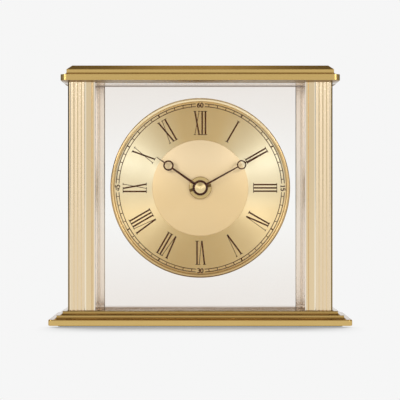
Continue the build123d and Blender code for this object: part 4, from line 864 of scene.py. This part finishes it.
LETTERS = {
    "I": [(0, FOOT, 0, HEAD, STEM, 0), serif(0, FOOT_SERIF, I_REACH), serif(0, HEAD_SERIF, I_REACH)],
    "V": [
        (-V_SPREAD, HEAD, V_STEM_TIP, FOOT, STEM, 0), (V_SPREAD, HEAD, V_HAIR_TIP, FOOT, HAIR, 0),
        serif(-V_SPREAD, HEAD_SERIF, V_REACH), serif(V_SPREAD, HEAD_SERIF, HAIR_REACH),
    ],
    "X": [
        (-X_SPREAD, HEAD, X_SPREAD, FOOT, STEM, 0), (X_SPREAD, HEAD, -X_SPREAD, FOOT, HAIR, 0),
        serif(-X_SPREAD, HEAD_SERIF, X_REACH), serif(X_SPREAD, HEAD_SERIF, HAIR_REACH),
        serif(X_SPREAD, FOOT_SERIF, X_REACH), serif(-X_SPREAD, FOOT_SERIF, HAIR_REACH),
    ],
}
# Each hour's letters, and how far they are set out from the usual radius.
HOURS = [
    ("XII", 0.0), ("I", 0.0), ("II", 0.0), ("III", 0.0), ("IV", 0.7), ("V", 0.7),
    ("VI", 0.0), ("VII", 0.7), ("VIII", 0.8), ("IX", 0.4), ("X", 0.3), ("XI", 0.3),
]
HOUR_ANGLE, MINUTE_ANGLE, QUARTER_ANGLE = 30, 6, 90


def hour_numerals():
    """Roman hours: strokes of each letter set side by side, then turned to their hour with the feet to the centre."""
    quads = []
    for hour, (word, outset) in enumerate(HOURS):
        place = -sum(LETTER_HALVES[letter] for letter in word)
        for letter in word:
            half = LETTER_HALVES[letter]
            quads.append(on_dial(bars(LETTERS[letter]) + (place + half, outset), hour * HOUR_ANGLE))
            place += 2 * half
    print_piece("hour_numerals", quads)


# Minute track: radii, half widths of its lines and the half angle of the gap at each quarter.
INNER_TRACK, OUTER_TRACK = 52.4, 54.2
TRACK_LINE, FIVE_LINE = 0.23, 0.42
NUMBER_GAP = 3.1
TRACK_STEPS = 49


def minute_track():
    """Two ring lines broken at the quarters, as grids of radius and turn, and a bar for each minute."""
    quads = []
    for middle in (INNER_TRACK, OUTER_TRACK):
        for start in range(0, 360, QUARTER_ANGLE):
            turn = np.linspace(start + NUMBER_GAP, start + QUARTER_ANGLE - NUMBER_GAP, TRACK_STEPS)
            edges = np.zeros((2, TRACK_STEPS, 2))
            edges[..., 1] = middle + TRACK_LINE * np.array([[-1], [1]])
            ring = on_dial(edges, turn)
            quads.append(np.stack([ring[0, :-1], ring[0, 1:], ring[1, 1:], ring[1, :-1]], 1))
    for minute in range(60):
        if minute % 15:
            half = FIVE_LINE if minute % 5 == 0 else TRACK_LINE
            quads.append(on_dial(bars([(0, INNER_TRACK, 0, OUTER_TRACK, half, 0)]), minute * MINUTE_ANGLE))
    print_piece("minute_track", quads)


BOW_STEPS = 15


def bow(x, y, rx, ry, start, end):
    """Points of an ellipse arc: centre plus radii times cosine and sine of the angle."""
    angle = np.radians(np.linspace(start, end, BOW_STEPS))
    return np.stack([x + rx * np.cos(angle), y + ry * np.sin(angle)], -1)


# Middle lines of the digits, one unit high.
DIGITS = {
    "0": [bow(0, 0.5, 0.27, 0.46, 0, 360)],
    "1": [np.array([(-0.16, 0.76), (0.02, 0.96), (0.02, 0.04)]), np.array([(-0.16, 0.04), (0.2, 0.04)])],
    "3": [bow(-0.02, 0.73, 0.24, 0.23, 150, -90), bow(-0.02, 0.27, 0.28, 0.23, 90, -150)],
    "4": [np.array([(0.14, 0.04), (0.14, 0.96), (-0.28, 0.3), (0.3, 0.3)])],
    "5": [np.array([(0.24, 0.94), (-0.18, 0.94), (-0.22, 0.52)]), bow(-0.02, 0.33, 0.28, 0.29, 130, -140)],
    "6": [bow(0, 0.3, 0.27, 0.26, 0, 360), bow(0.26, 0.3, 0.53, 0.66, 180, 95)],
}
DIGIT_HEIGHT, DIGIT_STEP, DIGIT_LINE = 2.9, 2.05, 0.33
# Each quarter's number, its clock angle and how far it leans.
QUARTERS = ("60", 0, 0), ("15", 90, 90), ("30", 180, 0), ("45", 270, -90)


def ribbon(path):
    """Flat ribbon along a path: each point moved half the line to both sides, square to the path there."""
    along = np.gradient(path, axis=0)
    along /= np.linalg.norm(along, axis=1, keepdims=True)
    side = np.stack([-along[:, 1], along[:, 0]], -1) * DIGIT_LINE
    left, right = path + side, path - side
    return np.stack([left[:-1], left[1:], right[1:], right[:-1]], 1)


def minute_numbers():
    """Quarter numbers in the minute track: upright at top and bottom, tops outward at the sides."""
    quads = []
    for word, angle, lean in QUARTERS:
        middle = swung(np.array([0, (INNER_TRACK + OUTER_TRACK) / 2]), angle)
        for index, digit in enumerate(word):
            for path in DIGITS[digit]:
                flat = ribbon((path - (0, 0.5)) * DIGIT_HEIGHT) + ((index - 0.5) * DIGIT_STEP, 0)
                quads.append(on_dial(swung(flat, lean) + middle, 0))
    print_piece("minute_numbers", quads)


dial_face()
rear_bead(-1, "rear_bead_left")
rear_bead(1, "rear_bead_right")
hour_numerals()
minute_track()
minute_numbers()


# Studio; lengths in metres

STUDIO_WHITE, SHADOW_TONE = tone(246, 246, 246), tone(40, 34, 24)
FLOOR_REACH, FLOOR_COLOUR = 12.0, tone(238, 238, 238)
SHADOW_LEAN, SHADOW_DISTANCE, SHADOW_SAMPLES = (0.0, 0.97, 0.24), 0.05, 24
SHADOW_POWER, SHADOW_DEPTH = 1.6, 1.75
SHADOW_FRONT, SHADOW_ENDS = (-0.033, -0.024, 1.0, 0.12), (0.088, 0.102)


def pale_floor():
    """Flat floor: white to the camera, to mirrors and through glass, with the shadow close to the clock kept where it
    is seen directly."""
    mesh = bpy.data.meshes.new("floor")
    corners = FLOOR_REACH * np.array([(-1, -1, 0), (1, -1, 0), (1, 1, 0), (-1, 1, 0)])
    mesh.from_pydata(corners.tolist(), [], [(0, 1, 2, 3)])
    floor = bpy.data.objects.new("floor", mesh)
    scene.collection.objects.link(floor)
    made, tree, shader, place = new_material("pale_floor")
    set_plain(shader, {"Base Color": FLOOR_COLOUR, "Roughness": 0.8})
    at = axes(tree, place)
    path = put(tree, "ShaderNodeLightPath").outputs
    direct = calc(tree, "MAXIMUM", path["Is Camera Ray"], path["Is Transmission Ray"])
    seen = calc(tree, "MAXIMUM", direct, path["Is Glossy Ray"])
    lean = put(tree, "ShaderNodeCombineXYZ", dict(enumerate(SHADOW_LEAN))).outputs[0]
    values = {"Distance": SHADOW_DISTANCE, "Normal": lean}
    open_share = put(tree, "ShaderNodeAmbientOcclusion", values, samples=SHADOW_SAMPLES).outputs["AO"]
    hidden = calc(tree, "POWER", calc(tree, "SUBTRACT", 1.0, open_share), SHADOW_POWER)
    ahead = span(tree, at["Y"], *SHADOW_FRONT)
    beside = falling(tree, unsigned(tree, at["X"]), *SHADOW_ENDS)
    hidden = product(tree, hidden, SHADOW_DEPTH, ahead, direct, beside)
    glow = put(tree, "ShaderNodeEmission", {"Color": blend_tones(tree, hidden, STUDIO_WHITE, SHADOW_TONE)})
    both = put(tree, "ShaderNodeMixShader", {0: seen, 1: shader.outputs[0], 2: glow.outputs[0]})
    tree.links.new(both.outputs[0], tree.nodes["Material Output"].inputs["Surface"])
    mesh.materials.append(made)


# Brightness of the room round the clock, by the angle in degrees from straight ahead of the dial.
ROUND_LEVELS = [
    (0, 0.82), (9, 0.84), (18, 1.3), (50, 1.3), (56, 0.36), (82, 0.34), (86, 0.42), (94, 0.42), (98, 0.22),
    (168, 0.22), (175, 0.92),
]
HALF_TURN = 180
OVERHEAD, OVERHEAD_LEVEL = (0.14, 0.45), 0.47
REAR_FOOT, REAR_HEAD = (0.16, 0.26), (0.72, 0.86)
REAR_START, REAR_LEVEL = (0.1, 0.4), 0.75
OVERHEAD_GREEN, OVERHEAD_BLUE = 0.93, 0.76


def studio_light():
    """Plain soft light from the room: a ramp of the angle round the clock, darker and warmer overhead, with a raised
    pale panel behind; white to the camera and through glass."""
    world = bpy.data.worlds.new("studio")
    scene.world = world
    world.use_nodes = True
    tree = world.node_tree
    direction = axes(tree, put(tree, "ShaderNodeTexCoord").outputs["Generated"])
    ahead = calc(tree, "MULTIPLY", direction["Y"], -1.0)
    angle = calc(tree, "ARCTAN2", unsigned(tree, direction["X"]), ahead)
    ramp = put(tree, "ShaderNodeValToRGB", {0: calc(tree, "DIVIDE", angle, math.pi)})
    stops = ramp.color_ramp.elements
    for index, (degrees, grey) in enumerate(ROUND_LEVELS):
        stop = stops[index] if index < 2 else stops.new(degrees / HALF_TURN)
        stop.position = degrees / HALF_TURN
        stop.color = (grey, grey, grey, 1.0)
    level = product(tree, ramp.outputs[0], span(tree, direction["Z"], *OVERHEAD, 1.0, OVERHEAD_LEVEL))
    panel = product(tree, rising(tree, direction["Z"], *REAR_FOOT), falling(tree, direction["Z"], *REAR_HEAD))
    panel = product(tree, panel, rising(tree, direction["Y"], *REAR_START, REAR_LEVEL))
    level = calc(tree, "MAXIMUM", level, panel)
    low = falling(tree, direction["Z"], *OVERHEAD)
    green = product(tree, level, span(tree, low, 0.0, 1.0, OVERHEAD_GREEN, 1.0))
    blue = product(tree, level, span(tree, low, 0.0, 1.0, OVERHEAD_BLUE, 1.0))
    soft = put(tree, "ShaderNodeCombineColor", {0: level, 1: green, 2: blue}).outputs[0]
    path = put(tree, "ShaderNodeLightPath").outputs
    seen = calc(tree, "MAXIMUM", path["Is Camera Ray"], path["Is Transmission Ray"])
    tree.links.new(blend_tones(tree, seen, soft, STUDIO_WHITE), tree.nodes["Background"].inputs["Color"])


SOFTBOX_SIDE, SOFTBOX_Y = 0.95, -1.35
SOFTBOX_WIDTH, SOFTBOX_HEIGHT, SOFTBOX_FOOT = 0.5, 0.34, 0.37


def softbox(name, x, power):
    """Upright area lamp, raised above the floor, that faces the middle of the clock."""
    lamp = bpy.data.lights.new(name, "AREA")
    lamp.shape, lamp.size, lamp.size_y, lamp.energy = "RECTANGLE", SOFTBOX_WIDTH, SOFTBOX_HEIGHT, power
    made = bpy.data.objects.new(name, lamp)
    made.location = (x, SOFTBOX_Y, SOFTBOX_FOOT + SOFTBOX_HEIGHT / 2)
    made.rotation_euler = (math.pi / 2, 0.0, math.atan2(-SOFTBOX_Y, -x) - math.pi / 2)
    scene.collection.objects.link(made)


EYE = (-0.00016, -0.92, 0.0794)
SENSOR, LENS, CLIP_START = 36.0, 128.25, 0.01


def level_camera():
    """Camera ahead of the dial that looks straight back, as in the photograph."""
    camera = bpy.data.cameras.new("camera")
    camera.sensor_width, camera.lens, camera.clip_start = SENSOR, LENS, CLIP_START
    eye = bpy.data.objects.new("camera", camera)
    eye.location = EYE
    eye.rotation_euler = (math.pi / 2, 0.0, 0.0)
    scene.collection.objects.link(eye)
    scene.camera = eye


pale_floor()
studio_light()
softbox("left_softbox", -SOFTBOX_SIDE, 5.0)
softbox("right_softbox", SOFTBOX_SIDE, 4.8)
level_camera()
scene.view_settings.view_transform = "Standard"

bpy.context.view_layer.update()
